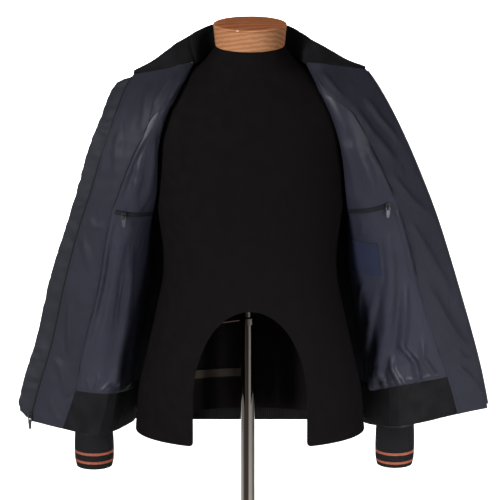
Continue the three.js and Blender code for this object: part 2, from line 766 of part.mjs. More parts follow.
const labelPlace = { columns: [1.12, 1.25, 1.5, 1.75, 2, 2.05], rows: [5.28, 5.5, 5.88], thickness: 0.8 };

function label() {
  const { columns, rows, thickness } = labelPlace;
  const geometry = panel(liningSurface('left'), columns, rows, -layerGap - thickness, -layerGap);
  return named('label', geometry, finishes.label);
}

// A slider and its pull tab, in their own frame: x along the pin, y down the tab, z off the cloth
const slider = { width: 8, length: 11, body: 2.6, bridge: 2.4, window: 3.2, bar: 1.3 };
const pull = { width: 7.2, eye: 7, bar: 1.2, thickness: 1.2 };
const pinHeight = slider.body + slider.window / 2;

function extruded(shape, depth, center) {
  const geometry = new THREE.ExtrudeGeometry(shape, { depth, bevelEnabled: false, curveSegments: 4 });
  geometry.translate(0, 0, -depth / 2);
  geometry.applyMatrix4(center);
  return geometry;
}

function rectangle(left, right, low, high) {
  const shape = new THREE.Shape();
  shape.moveTo(left, low);
  shape.lineTo(right, low);
  shape.lineTo(right, high);
  shape.lineTo(left, high);
  shape.closePath();
  return shape;
}

function sliderGeometry() {
  const upright = new THREE.Matrix4().makeBasis(
    new THREE.Vector3(0, 1, 0),
    new THREE.Vector3(0, 0, 1),
    new THREE.Vector3(1, 0, 0),
  );
  const plate = extruded(
    rectangle(-slider.length / 2, slider.length / 2, 0, slider.body),
    slider.width,
    upright,
  );
  const halfWindow = slider.window / 2;
  const outer = halfWindow + slider.bar;
  const bridgeShape = rectangle(-outer, outer, slider.body - 0.4, slider.body + slider.window + slider.bar);
  bridgeShape.holes.push(rectangle(-halfWindow, halfWindow, slider.body, slider.body + slider.window));
  return joined(plate, extruded(bridgeShape, slider.bridge, upright));
}

function pullGeometry(length) {
  const half = pull.width / 2;
  const tip = half * 0.6;
  const shape = new THREE.Shape();
  shape.moveTo(-half, -pull.bar / 2);
  shape.lineTo(half, -pull.bar / 2);
  shape.lineTo(half, pull.eye);
  shape.lineTo(tip, length);
  shape.lineTo(-tip, length);
  shape.lineTo(-half, pull.eye);
  shape.closePath();
  const rail = half - pull.bar;
  shape.holes.push(rectangle(-rail, rail, pull.bar / 2, pull.eye - pull.bar));
  return extruded(shape, pull.thickness, new THREE.Matrix4());
}

// A frame on the cloth: x along the pin, y the way the tab hangs, z towards the wearer's inside
function clothFrame(origin, alongPin, offCloth) {
  const z = offCloth.clone().normalize();
  const x = alongPin.clone().addScaledVector(z, -alongPin.dot(z)).normalize();
  const y = z.clone().cross(x);
  return new THREE.Matrix4().makeBasis(x, y, z).setPosition(origin);
}

function zipPull(name, frame, length) {
  const group = new THREE.Group();
  frame.decompose(group.position, group.quaternion, group.scale);
  const tab = named(`${name}_pull`, pullGeometry(length), finishes.zipMetal);
  tab.position.z = pinHeight;
  tab.rotation.x = Math.max(0, Math.asin(-frame.elements[10])); // hangs straight down from its pin
  group.add(named(`${name}_slider`, sliderGeometry(), finishes.zipMetal), tab);
  return group;
}

function pocketPull(side) {
  const { column, lift } = pocketZips[side].slider;
  const row = pocketRow(side, column);
  const cloths = liningSurface(side);
  const inward = cloths.normalAt(column, row).negate();
  const origin = cloths.pointAt(column, row).addScaledVector(inward, pocketZipWall + lift);
  const down = new THREE.Vector3(0, 0, -1);
  return zipPull(`pocket_${side}`, clothFrame(origin, down.cross(inward), inward), 19);
}

function mainPull() {
  const { cloths } = fronts.right;
  const row = 8.86;
  const inward = cloths.normalAt(4, row).negate();
  const origin = beyondZip('right', row, (zipTeeth.from + zipTeeth.to) / 2, -zipTeeth.half - layerGap);
  const down = new THREE.Vector3(0, 0, -1);
  return zipPull('main', clothFrame(origin, down.cross(inward), inward), 24);
}

// The form: rings of a rounded section, hollow below, with a socket for the rod
function ringPoints(up, half, power) {
  return Array.from({ length: formSides }, (_, i) => {
    const angle = (2 * Math.PI * i) / formSides;
    const c = Math.cos(angle);
    const s = Math.sin(angle);
    const rounded = (value) => Math.sign(value) * Math.abs(value) ** (2 / power);
    return new THREE.Vector3(half[0] * rounded(c), half[1] * rounded(s), up);
  });
}

function torsoForm() {
  const rings = formSections.map(({ up, half }) => ringPoints(up, half, sectionPower));
  const thin = ({ up, half }) => ringPoints(up, half.map((size) => size - formWall), sectionPower);
  const hollow = formSections.filter(({ up }) => up < hollowTop).map(thin);
  hollow.push(ringPoints(hollowTop, [161, 102], sectionPower));
  const socket = [hollowTop, socketTop].map((up) => {
    const ring = ringPoints(up, [socketRadius, socketRadius], 2);
    ring.forEach((point) => { point.x -= dressedOffset; });
    return ring;
  });
  const skin = [...socket.reverse(), ...hollow.reverse(), ...rings];
  const positions = skin.flat().flatMap((point) => point.toArray());
  const index = [];
  for (let r = 0; r + 1 < skin.length; r++) {
    for (let i = 0; i < formSides; i++) {
      const a = r * formSides + i;
      const b = r * formSides + ((i + 1) % formSides);
      index.push(a, b, b + formSides, a, b + formSides, a + formSides);
    }
  }
  const lastRing = (skin.length - 1) * formSides;
  for (let i = 1; i + 1 < formSides; i++) {
    index.push(0, i + 1, i);
    index.push(lastRing, lastRing + i, lastRing + i + 1);
  }
  const whole = solid(closedGeometry(positions, index));
  return named('torso_form', geometryOf(whole.subtract(solid(archCutter()))), finishes.form);
}

// The opening in the front of the form: a round arch on straight sides with eased lower corners
function archCutter() {
  const { halfWidth, springHeight, rise, cornerRadius } = arch;
  const shape = new THREE.Shape();
  const below = formBottom - 10;
  shape.moveTo(-halfWidth - cornerRadius, below);
  shape.lineTo(halfWidth + cornerRadius, below);
  shape.lineTo(halfWidth + cornerRadius, formBottom);
  const cornerHeight = formBottom + cornerRadius;
  shape.absarc(halfWidth + cornerRadius, cornerHeight, cornerRadius, -Math.PI / 2, -Math.PI, true);
  shape.absellipse(0, springHeight, halfWidth, rise, 0, Math.PI, false);
  shape.absarc(-halfWidth - cornerRadius, cornerHeight, cornerRadius, 0, -Math.PI / 2, true);
  shape.closePath();
  const geometry = new THREE.ExtrudeGeometry(shape, { depth: 130, bevelEnabled: false, curveSegments: 12 });
  geometry.rotateX(Math.PI / 2);
  geometry.translate(0, -10, 0);
  return geometry;
}

function turned(name, profile, finish, sides = roundSides) {
  const points = profile.map(([radius, up]) => new THREE.Vector2(radius, up));
  const geometry = new THREE.LatheGeometry(points, sides);
  geometry.rotateX(Math.PI / 2);
  return named(name, geometryOf(solid(geometry)), finish);
}

function neckCap() {
  const low = formTop + cap.seat;
  const high = low + cap.height;
  const { bottomRadius, topRadius } = cap;
  return turned('neck_cap', [
    [0, low],
    [bottomRadius - 2, low],
    [bottomRadius, low + 2],
    [topRadius - 0.8, high - 6],
    [topRadius, high - 4],
    [topRadius - 0.6, high - 2],
    [topRadius - 3, high],
    [0, high + 1],
  ], finishes.wood, 32);
}

function innerRod() {
  return turned('inner_rod', [
    [0, rodBottom],
    [rodRadius, rodBottom],
    [rodRadius, socketTop - layerGap],
    [0, socketTop - layerGap],
  ], finishes.chrome);
}

function outerTube() {
  return turned('outer_tube', [
    [tube.inner, tube.bottom],
    [tube.outer, tube.bottom],
    [tube.outer, tube.top],
    [tube.inner, tube.top],
    [tube.inner, tube.bottom],
  ], finishes.chrome);
}

// The height clamp: a ring on the tube with a lever to the wearer's right
function clampRing() {
  const low = tube.top + layerGap;
  const ring = turned('ring', [
    [clamp.inner, low],
    [clamp.outer, low],
    [clamp.outer, low + clamp.height],
    [clamp.inner, low + clamp.height],
    [clamp.inner, low],
  ], finishes.chrome);
  const middle = low + clamp.height / 2;
  const start = new THREE.Vector3(-clamp.outer + 2, 0, middle);
  const end = new THREE.Vector3(-clamp.outer - clamp.leverReach, 0, middle - clamp.leverDrop);
  const way = end.clone().sub(start);
  const rod = new THREE.CylinderGeometry(clamp.leverRadius, clamp.leverRadius, way.length(), 8);
  rod.applyQuaternion(new THREE.Quaternion().setFromUnitVectors(
    new THREE.Vector3(0, 1, 0),
    way.clone().normalize(),
  ));
  rod.translate(...start.clone().lerp(end, 0.5).toArray());
  const knob = new THREE.BoxGeometry(12, 6, 14);
  knob.translate(...end.toArray());
  return named('clamp', joined(ring.geometry, rod, knob), finishes.chrome);
}

function standBase() {
  return turned('base', [
    [0, 0],
    [base.radius - 3, 0],
    [base.radius, 3],
    [base.radius, base.rim],
    [base.radius - 8, base.rim + 3],
    [base.hubRadius + 16, base.rim + 8],
    [base.hubRadius, base.rim + 14],
    [base.hubRadius, base.hubTop],
    [base.socket, base.hubTop],
    [base.socket, base.plate],
    [0, base.plate],
  ], finishes.iron, 40);
}

const group = new THREE.Group();
const dressed = new THREE.Group();
dressed.position.x = dressedOffset;
group.add(dressed);

dressed.add(back(), hemBand(), collar(), stormFlap(), label());
for (const [side, rings] of [['right', rightSleeve], ['left', leftSleeve]]) {
  dressed.add(front(side), lining(side), facing(side), zip(side));
  dressed.add(sleeve(side, rings), cuff(side), pocketZip(side), pocketPull(side));
}
dressed.add(mainPull(), torsoForm(), neckCap());
group.add(innerRod(), outerTube(), clampRing(), standBase());

export default group;
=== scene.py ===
# A bomber jacket on a dress form: cloth, knit, zips, felt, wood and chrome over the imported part.
import math

import bmesh
import bpy
import numpy as np
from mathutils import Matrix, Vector


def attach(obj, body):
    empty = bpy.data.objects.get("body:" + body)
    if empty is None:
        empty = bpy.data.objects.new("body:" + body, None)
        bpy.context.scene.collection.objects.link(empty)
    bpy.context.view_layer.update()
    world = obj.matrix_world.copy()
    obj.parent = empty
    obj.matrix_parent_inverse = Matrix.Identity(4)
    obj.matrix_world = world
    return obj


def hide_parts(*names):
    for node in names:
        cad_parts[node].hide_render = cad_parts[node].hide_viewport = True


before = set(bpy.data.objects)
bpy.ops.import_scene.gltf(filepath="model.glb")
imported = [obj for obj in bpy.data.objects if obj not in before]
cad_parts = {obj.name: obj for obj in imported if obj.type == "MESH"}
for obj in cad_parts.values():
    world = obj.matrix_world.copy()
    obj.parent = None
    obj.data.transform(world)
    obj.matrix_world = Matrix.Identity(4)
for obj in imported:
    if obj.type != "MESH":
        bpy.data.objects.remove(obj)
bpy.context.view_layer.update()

# Sizes below are millimetres from the form's middle, [out, back, up], as the garment is cut.
MM = 0.001
DRESSED_OFFSET = 4
DRESSED_SHIFT = np.array([DRESSED_OFFSET, 0, 0])
TO_FRONT, TO_BACK = np.array([0, -1, 0]), np.array([0, 1, 0])
SHELL = (0.15, 1.75)
LINING_WALL = 1.0
FACING = (-1.55, -0.15)
LAYER_GAP = 0.3
SHOULDER_ROW = 0.01
UNDERARM = 5
RIB_TOP = 8
HEM = 9
FACING_SEAM = 3
ZIP_COLUMN = 4
BACK_COLUMNS = 8
BODY = "dressed_form"

RIGHT_FRONT = {
    "side": [(210, 18, 1118), (205, -12, 1085), (196, -26, 1045), (190, -28, 995), (187, -10, 945),
             (186, 40, 893), (180, 78, 790), (197, 100, 660), (208, 110, 566), (208, 110, 497)],
    "fold": [(97, -5, 1181), (122, -56, 1143), (143, -68, 1101), (156, -64, 1048), (161, -46, 965),
             (172, 4, 893), (177, 46, 790), (197, 72, 660), (212, 82, 566), (213, 86, 500)],
    "mid": [(118, -22, 1182), (138, -66, 1143), (154, -79, 1101), (173, -77, 1048), (192, -65, 965),
            (208, -40, 894), (223, -15, 790), (245, 0, 662), (251, 3, 583), (270, 6, 503)],
    "seam": [(137, -24, 1176), (156, -62, 1139), (169, -77, 1098), (195, -72, 1043), (226, -56, 962),
             (246, -36, 891), (264, -13, 788), (295, 13, 660), (310, 26, 580), (335, 40, 503)],
    "zip": [(198, -4, 1161), (213, -20, 1134), (231, -40, 1088), (249, -42, 1038), (272, -28, 960),
            (295, -6, 888), (322, 16, 788), (352, 41, 656), (374, 54, 583), (395, 71, 507)],
}
LEFT_FRONT = {
    "side": RIGHT_FRONT["side"],
    "fold": [(97, -5, 1181), (118, -56, 1145), (139, -68, 1101), (155, -64, 1047), (165, -46, 966),
             (172, 2, 894), (177, 46, 790), (199, 72, 660), (216, 80, 563), (209, 86, 497)],
    "mid": [(116, -22, 1184), (135, -66, 1146), (154, -79, 1102), (177, -77, 1049), (199, -64, 968),
            (214, -36, 896), (229, -4, 790), (250, 32, 662), (263, 41, 584), (268, 54, 503)],
    "seam": [(135, -22, 1181), (157, -62, 1143), (177, -74, 1104), (206, -69, 1051), (242, -54, 972),
             (268, -28, 897), (294, 6, 793), (331, 46, 660), (354, 73, 590), (377, 112, 505)],
    "zip": [(197, -4, 1170), (215, -14, 1146), (240, -26, 1104), (264, -30, 1055), (297, -14, 976),
            (325, 12, 900), (357, 45, 798), (397, 82, 662), (416, 106, 590), (434, 140, 507)],
}
BACK = {
    "side": [(210, 18, 1118), (205, 50, 1085), (197, 76, 1045), (192, 90, 995), (188, 82, 945)]
            + RIGHT_FRONT["side"][UNDERARM:],
    "yoke": [(155, 6, 1149), (158, 62, 1112), (160, 93, 1064), (161, 107, 1008), (164, 104, 952),
             (170, 92, 893), (160, 103, 790), (170, 115, 658), (178, 121, 566), (178, 117, 494)],
    "neck": [(97, -5, 1181), (112, 72, 1134), (114, 106, 1082), (114, 119, 1020), (118, 121, 957),
             (122, 119, 893), (118, 119, 790), (122, 124, 656), (126, 127, 567), (126, 122, 491)],
    "nape": [(70, 52, 1181), (62, 92, 1142), (60, 113, 1092), (60, 123, 1030), (60, 126, 962),
             (60, 127, 893), (60, 126, 790), (60, 128, 655), (62, 130, 568), (62, 124, 490)],
    "centre": [(0, 76, 1179), (0, 100, 1144), (0, 115, 1095), (0, 124, 1034), (0, 127, 964),
               (0, 128, 893), (0, 127, 790), (0, 129, 654), (0, 131, 568), (0, 124, 490)],
}
BLOUSE = {"depth": 7, "from": 6.4, "rows": 1.6}

# Sleeve rings below the armhole: outer out and up, inner out and up, how far back, half the depth
SLEEVES = {
    -1: [(232, 1104, 191, 888, 31, 60), (252, 1070, 193, 876, 33, 61), (268, 1018, 195, 858, 37, 60),
         (281, 950, 197, 832, 43, 57), (291, 870, 200, 790, 52, 52), (300, 780, 206, 735, 60, 47),
         (308, 680, 216, 660, 66, 42), (312, 590, 230, 585, 67, 37), (314, 530, 239, 528, 65, 34),
         (312, 493, 246, 493, 62, 29)],
    1: [(232, 1104, 191, 888, 31, 60), (252, 1070, 193, 876, 34, 61), (268, 1018, 195, 858, 40, 60),
        (281, 950, 197, 832, 50, 57), (289, 870, 200, 790, 62, 52), (294, 780, 206, 735, 76, 47),
        (298, 680, 213, 660, 92, 41), (299, 590, 221, 585, 102, 36), (298, 530, 227, 528, 103, 33),
        (296, 493, 230, 493, 101, 29)],
}
ARMHOLE_SET_OFF = 2.7
SLEEVE_HALF_WALL = 0.8
# Gathers round a sleeve: row, spread in rows, lean and height
SLEEVE_GATHERS = (
    (2.4, 0.30, 0.5, 3.4), (3.3, 0.26, -0.4, 3.0), (4.3, 0.24, 0.5, 3.6), (4.95, 0.22, -0.3, 4.0),
    (5.6, 0.22, 0.35, 3.6), (6.6, 0.26, -0.5, 2.6), (7.7, 0.22, 0.4, 3.0), (8.5, 0.2, -0.3, 3.8),
    (9.1, 0.17, 0.25, 4.2), (9.6, 0.14, -0.2, 4.0),
)
CUFFS = {
    -1: {"top": 492.6, "bottom": 426, "middle": (281, 62), "half": (34, 29), "stripes": (439.0, 455.5)},
    1: {"top": 492.6, "bottom": 414, "middle": (263.5, 101), "half": (34, 29), "stripes": (423.5, 441.0)},
}
CUFF_WALL = 2.6
STRIPE_HALF = 2.4
CUFF_RIBS = 56

# The collar's way from seam to free edge at its stations, front end to centre back
COLLAR_RISE = {
    -1: [(1, 3, 5), (7, 18, 10), (8, 34, 21), (9, 41, 27), (9, 38, 38), (-3, 9, 53), (0, 7, 57)],
    1: [(1, 3, 3), (7, 18, 6), (8, 34, 15), (9, 41, 21), (9, 38, 32), (-3, 9, 51), (0, 7, 57)],
}
COLLAR_FRONT_COLUMNS = (4, 3.5, 3, 2, 1)
COLLAR_STATIONS = 12
COLLAR_SET_OFF = 0.9
COLLAR_WALL = 4.4
HEM_WALL = 3.0
KNIT_PITCH = 3.6
KNIT_HEIGHT = 0.45
POINTS_PER_RIB = 4

FLAP_ROWS = (0.08, 0.3, 0.8, 2.5, 5, 7.2, 8.6, 8.85, 8.97)
FLAP_WIDTHS = (20, 30, 35, 35, 33, 39, 36, 30, 14)
FLAP_WALL = 2.4
FLAP_ROOT = -5
ZIP_TEETH = {"from": 0.5, "to": 3.4, "half": (1.3, 1.3, 0.95), "pitch": 3.2}
ZIP_TAPE = {"past_teeth": -0.6, "half": 0.45}
POCKET_TEETH = {"half": (0.8, 1.5, 0.4), "pitch": 2.6, "lift": 1.1}
STITCH = {"half": (1.1, 0.22, 0.16), "pitch": 3.2, "lift": 0.1}

ZIPS = ("main", "pocket_right", "pocket_left")
POCKET_ZIPS = {
    -1: {"columns": (1.1, 2.85), "rows": (4.66, 4.44)},
    1: {"columns": (1.05, 2.65), "rows": (4.6, 4.36)},
}
POCKET_HALF = 0.06
LABEL = {"columns": (1.12, 2.05), "rows": (5.28, 5.88), "wall": 0.8, "lift": 0.25, "quiet": 0.2}

# Uneven rippling of the cloths: seed, lengths in mm, directions in degrees and number of waves
RIPPLES = {
    "billow": (11, (70, 160), (60, 120), 9), "lining": (23, (14, 34), (30, 150), 9),
    "shell": (41, (40, 110), (0, 180), 9), "facing": (57, (22, 60), (20, 160), 9),
    "back": (77, (45, 120), (0, 180), 11), "flap": (91, (14, 46), (50, 130), 9),
}
# Panels' relief: lift, share of rippling, highest fold, then the columns and rows that it fills and its rims
RELIEF = {
    "shell": (0.7, 0.5, 8, (0, ZIP_COLUMN), (0, HEM), 0.25, 0.2),
    "facing": (0.5, 0.45, 6, (0.8, ZIP_COLUMN + 0.02), (0, HEM + 0.02), 0.12, 0.06),
    "back": (1.0, 0.8, 12, (0, BACK_COLUMNS), (0, RIB_TOP), 0.5, 0.4),
}
HIGHEST_FOLD = {"lining": 11, "flap": 5}

# The form: height and half widths of its sections
FORM_SECTIONS = [
    (520, 203, 112), (560, 200, 113), (598, 196, 113), (652, 184, 110), (703, 172.5, 106),
    (751, 162, 103), (802, 152, 100), (848, 151, 99), (893, 156, 103), (949, 164, 109),
    (1000, 170, 112), (1045, 173, 110), (1080, 173, 104), (1110, 170, 91), (1132, 157, 79),
    (1148, 135, 69), (1160, 114, 63), (1171, 95, 61), (1180, 82, 61), (1192, 71, 60), (1210, 59, 59),
]
FORM_LOW = FORM_SECTIONS[0][0]
FORM_SIDES = 112
FORM_POWER = 2.05
FORM_WALL = 9
FORM_HOLLOW_TOP = 1040
FORM_BORE = {"halves": (10.2, 10.2), "top": 1130}
ARCH = {"half": 99, "spring": 600, "rise": 167, "corner": 8, "depth": (-140, -10), "below": 15}
CAP = {"bottom": 59, "top": 63, "low": 1210.3, "height": 39}
TAPE = {"from": -112, "to": -6, "up": 588, "half": 7.5}  # bare board in the hollow, behind the arch
ROD = {"radius": 9.5, "low": 465, "high": 1129.7}
TUBE = {"outer": 12.5, "inner": 9.9, "low": 8.3, "top": 715}
BASE = {"radius": 188, "rim": 7, "hub": 23, "hub_top": 42, "socket": 12.9, "plate": 8}

# The photograph's camera
CAMERA = {"distance": 4.5, "elevation": 16.3, "focal_px": 2586, "target": (0.004, 0, 0.848)}
FRAME_PX = 500
SENSOR_MM = 36
FLOOR_HALF = 30000
FLOOR_COLOR = (0.95, 0.95, 0.95)
WORLD_STRENGTH = 0.30

STEP = 0.01  # part of a column or row over which slopes are measured


def curve_at(points, t):
    """Points on the smooth curve through points (n, rows, 3), at places t counted in points."""
    t = np.asarray(t, float)
    last = len(points) - 1
    k = np.clip(np.floor(t).astype(int), 0, last - 1)
    near, far = points[k], points[k + 1]
    first = (k == 0)[:, None, None]
    end = (k == last - 1)[:, None, None]
    before = np.where(first, 2 * near - far, points[np.maximum(k - 1, 0)])
    after = np.where(end, 2 * far - near, points[np.minimum(k + 2, last)])

    def root_length(a, b):
        length = np.linalg.norm(b - a, axis=-1, keepdims=True)
        return np.sqrt(np.maximum(length, 1e-4))

    d0, d1, d2 = root_length(before, near), root_length(near, far), root_length(far, after)
    slope_near = ((near - before) / d0 - (far - before) / (d0 + d1) + (far - near) / d1) * d1
    slope_far = ((far - near) / d1 - (after - near) / (d1 + d2) + (after - far) / d2) * d1
    f = (t - k)[:, None, None]
    return (
        near * (2 * f**3 - 3 * f**2 + 1)
        + slope_near * (f**3 - 2 * f**2 + f)
        + far * (3 * f**2 - 2 * f**3)
        + slope_far * (f**3 - f**2)
    )


def line_down(table, name, sign, vs):
    """A line of the pattern at rows vs, as (rows, 3)."""
    points = np.array(table[name], float)[:, None, :] * np.array([sign, 1, 1])
    if name != "side":
        return curve_at(points, vs)[:, 0]
    upper = curve_at(points[: UNDERARM + 1], np.minimum(vs, UNDERARM + STEP))[:, 0]
    lower = curve_at(points[UNDERARM:], np.maximum(vs - UNDERARM, -STEP))[:, 0]
    return np.where((vs < UNDERARM)[:, None], upper, lower)


def unit(vectors):
    return vectors / np.linalg.norm(vectors, axis=-1, keepdims=True)


def smooth(x):
    x = np.clip(x, 0, 1)
    return x * x * (3 - 2 * x)


def eased(values, low, high, rise, fall):
    """1 between low and high, easing to 0 at each over rise and fall."""
    return smooth((values - low) / rise) * smooth((high - values) / fall)


def distance_along(line):
    return np.concatenate([[0], np.cumsum(np.linalg.norm(np.diff(line, axis=0), axis=-1))])


def at_places(values, place):
    """Values between the entries of an array, at an array of fractional places."""
    k = np.minimum(place.astype(int), len(values) - 2)
    share = (place - k).reshape(place.shape + (1,) * (values.ndim - 1))
    return values[k] * (1 - share) + values[k + 1] * share


class Cloth:
    """A cloth surface over columns u and rows v, and its outward direction."""

    def __init__(self, grid_at, outward):
        self.grid_at = grid_at
        self.outward = outward

    def points(self, us, vs):
        return self.grid_at(np.asarray(us, float), np.asarray(vs, float))

    def slopes(self, us, vs):
        """Steps across the columns and down the rows, each over twice STEP."""
        us, vs = np.asarray(us, float), np.asarray(vs, float)
        across = self.points(us + STEP, vs) - self.points(us - STEP, vs)
        return across, self.points(us, vs + STEP) - self.points(us, vs - STEP)

    def normals(self, us, vs):
        return unit(np.cross(*self.slopes(us, vs)) * self.outward)

    def offset(self, us, vs, distance):
        return self.points(us, vs) + self.normals(us, vs) * np.asarray(distance)[..., None]


def back_grid(us, vs):
    half = ("side", "yoke", "neck", "nape")
    lines = [line_down(RIGHT_FRONT, "fold", -1, vs)]
    lines += [line_down(BACK, name, -1, vs) for name in half]
    lines += [line_down(BACK, "centre", 1, vs)]
    lines += [line_down(BACK, name, 1, vs) for name in reversed(half)]
    lines += [line_down(LEFT_FRONT, "fold", 1, vs)]
    grid = curve_at(np.array(lines), us + 1)
    fullness = np.sin(np.pi * np.clip((vs - BLOUSE["from"]) / BLOUSE["rows"], 0, 1)) ** 2
    grid[..., 1] += BLOUSE["depth"] * np.sin(np.pi * us / BACK_COLUMNS)[:, None] * fullness[None, :]
    return grid


def front_grid(table, sign):
    def own(us, vs):
        lines = [line_down(BACK, "yoke", sign, vs)]
        lines += [line_down(table, name, sign, vs) for name in ("side", "fold", "mid", "seam", "zip")]
        return curve_at(np.array(lines), us + 1)

    def grid(us, vs):
        points = own(us, vs)
        along = np.clip(us, 0, 1)
        top = np.zeros(1)
        shoulder = back_grid(2 * along if sign < 0 else BACK_COLUMNS - 2 * along, top)
        pull = np.clip(1 - vs, 0, None) ** 2
        return points + (shoulder - own(along, top)) * pull[None, :, None] * (us < 1)[:, None, None]

    return grid


FRONTS = {-1: Cloth(front_grid(RIGHT_FRONT, -1), -1), 1: Cloth(front_grid(LEFT_FRONT, 1), 1)}
BACK_CLOTH = Cloth(back_grid, 1)
SIDE_NAME = {-1: "right", 1: "left"}


GATHERED_ROW = 7.6  # creases that end below it run into the hem seam


def crease(u, v, scale, row):
    """A soft ridge along a path of three places on a cloth, fading towards its ends."""
    path = np.reshape(row[:6], (3, 2))
    half, height = row[6:]
    best = np.full(u.shape, 1e4)
    along = np.zeros(u.shape)
    spans = len(path) - 1
    column_size, row_size = scale
    for n in range(spans):
        (u0, v0), (u1, v1) = path[n], path[n + 1]
        du, dv = (u1 - u0) * column_size, (v1 - v0) * row_size
        pu, pv = (u - u0) * column_size, (v - v0) * row_size
        t = np.clip((pu * du + pv * dv) / (du * du + dv * dv), 0, 1)
        away = np.hypot(pu - t * du, pv - t * dv)
        nearer = away < best
        best = np.where(nearer, away, best)
        along = np.where(nearer, (n + t) / spans, along)
    kept = 1.0 if path[-1][1] > GATHERED_ROW else 0.1
    taper = smooth(along / 0.35) * (1 - (1 - kept) * smooth((along - 0.6) / 0.4))
    return height * np.clip(1 - (best / half) ** 2, 0, None) ** 2 * taper


def summed(cloth, creases, us, vs):
    u, v = np.meshgrid(us, vs, indexing="ij")
    scale = [np.linalg.norm(way, axis=-1) / (2 * STEP) for way in cloth.slopes(us, vs)]
    return sum(crease(u, v, scale, row) for row in creases)


def rippling(name, side, points):
    """Smooth uneven rippling by how far out and up the points are, the same each run."""
    x, y = points[..., 0], points[..., 2]
    seed, (low, high), directions, count = RIPPLES[name]
    rng = np.random.default_rng(seed + side)
    angle = np.radians(rng.uniform(*directions, count))
    size = 2 * np.pi / rng.uniform(low, high, count)
    waves = zip(np.cos(angle) * size, np.sin(angle) * size, rng.uniform(0, 6.28, count))
    total = sum(np.sin(a * x + b * y + c + 1.3 * np.sin(0.31 * (b * x - a * y))) for a, b, c in waves)
    return total / math.sqrt(count)


# Materials
def material(name, color, roughness, metallic=0.0, specular=0.5):
    made = bpy.data.materials.new(name)
    made.use_nodes = True
    shader_input(made, "Base Color").default_value = (*color, 1)
    for key, value in (("Roughness", roughness), ("Metallic", metallic), ("Specular IOR Level", specular)):
        shader_input(made, key).default_value = value
    return made


def shader_input(made, key):
    return made.node_tree.nodes["Principled BSDF"].inputs[key]


def add_node(made, kind, inputs, output=0, **properties):
    """The output of a new node, whose inputs each take a value or another node's output."""
    node = made.node_tree.nodes.new(f"ShaderNode{kind}")
    for key, value in properties.items():
        setattr(node, key, value)
    for key, value in inputs.items():
        if isinstance(value, bpy.types.NodeSocket):
            made.node_tree.links.new(value, node.inputs[key])
        else:
            node.inputs[key].default_value = value
    return node.outputs[output]


def place_on(made, kind="Object"):
    return add_node(made, "TexCoord", {}, kind)


def color_by(made, value, stops):
    """A colour that follows a value through stops of (place, colour)."""
    color = add_node(made, "ValToRGB", {"Fac": value}, "Color")
    elements = color.node.color_ramp.elements
    while len(elements) < len(stops):
        elements.new(0.5)
    for element, (place, shade) in zip(elements, stops):
        element.position = place
        element.color = (*shade, 1)
    return color


def link_to(made, key, output):
    made.node_tree.links.new(output, shader_input(made, key))
    return made


def mottle(made, color, other, scale):
    """Base colour that drifts between two colours."""
    noise = add_node(made, "TexNoise", {"Vector": place_on(made), "Scale": scale, "Detail": 3.0}, "Fac")
    return link_to(made, "Base Color", color_by(made, noise, [(0.35, color), (0.65, other)]))


def fine_bump(made, scale, strength, distance):
    noise = add_node(made, "TexNoise", {"Vector": place_on(made), "Scale": scale, "Detail": 2.0}, "Fac")
    relief = {"Height": noise, "Strength": strength, "Distance": distance}
    return link_to(made, "Normal", add_node(made, "Bump", relief, "Normal"))


def fine_wrinkles(made, stretch, turn, scale, distance):
    """Shallow streaky relief too fine for the mesh, in front of the weave's own bump."""
    weave = shader_input(made, "Normal").links[0].from_node
    place = add_node(made, "Mapping", {"Vector": place_on(made), "Rotation": turn, "Scale": stretch})
    streaks = {"Vector": place, "Scale": scale, "Detail": 2.5, "Distortion": 0.6}
    relief = {"Height": add_node(made, "TexNoise", streaks, "Fac"), "Strength": 0.75, "Distance": distance}
    made.node_tree.links.new(add_node(made, "Bump", relief, "Normal"), weave.inputs["Normal"])


def stripes_between(made, color, stripe, bands, half):
    """Colour by height: stripe colour near each band's height."""
    height = add_node(made, "SeparateXYZ", {"Vector": place_on(made)}, "Z")
    total = 0.0
    for band in bands:
        inside = add_node(made, "Math", {0: height, 1: band * MM, 2: half * MM}, operation="COMPARE")
        total = add_node(made, "Math", {0: total, 1: inside}, operation="ADD")
    return link_to(made, "Base Color", color_by(made, total, [(0, color), (1, stripe)]))


def painted_reflection_bands(made, bands):
    """Colour by the direction a turned surface faces, from -x to +x: painted reflections, bright and dark
    bands standing in for what the chrome reflects.
    """
    facing = add_node(made, "SeparateXYZ", {"Vector": place_on(made, "Normal")}, "X")
    reach = add_node(made, "MapRange", {"Value": facing, "From Min": -1.0}, "Result")
    return link_to(made, "Base Color", color_by(made, reach, bands))


def cloth_finish(name, base, roughness, specular, shades, weave, wrinkles=None):
    """A cloth: its base value, two shades and their scale, the weave's bump and any fine wrinkles."""
    made = mottle(material(name, (base, base, base), roughness, specular=specular), *shades)
    fine_bump(made, *weave)
    if wrinkles:
        fine_wrinkles(made, *wrinkles)
    return made


# Painted reflections for the chrome: base colours by the way its surface faces, in bright and dark bands.
POLE_PAINTED_REFLECTIONS = [
    (0.0, (0.20, 0.18, 0.16)), (0.15, (0.26, 0.24, 0.22)), (0.24, (0.050, 0.038, 0.032)),
    (0.34, (0.040, 0.028, 0.023)), (0.53, (0.046, 0.033, 0.028)), (0.60, (0.36, 0.34, 0.31)),
    (0.76, (0.32, 0.30, 0.27)), (0.88, (0.07, 0.058, 0.050)),
]
KNIT_WEAVE = (1500, 0.3, 0.0005)
CUFF_SHADE, STRIPE_SHADE = (0.0050, 0.0050, 0.0056), (0.155, 0.045, 0.026)
WOOD_GRAIN = [(0, (0.150, 0.060, 0.024)), (1, (0.30, 0.145, 0.072))]
WOOD_COAT = {"side": 0.22, "top": 0.0}

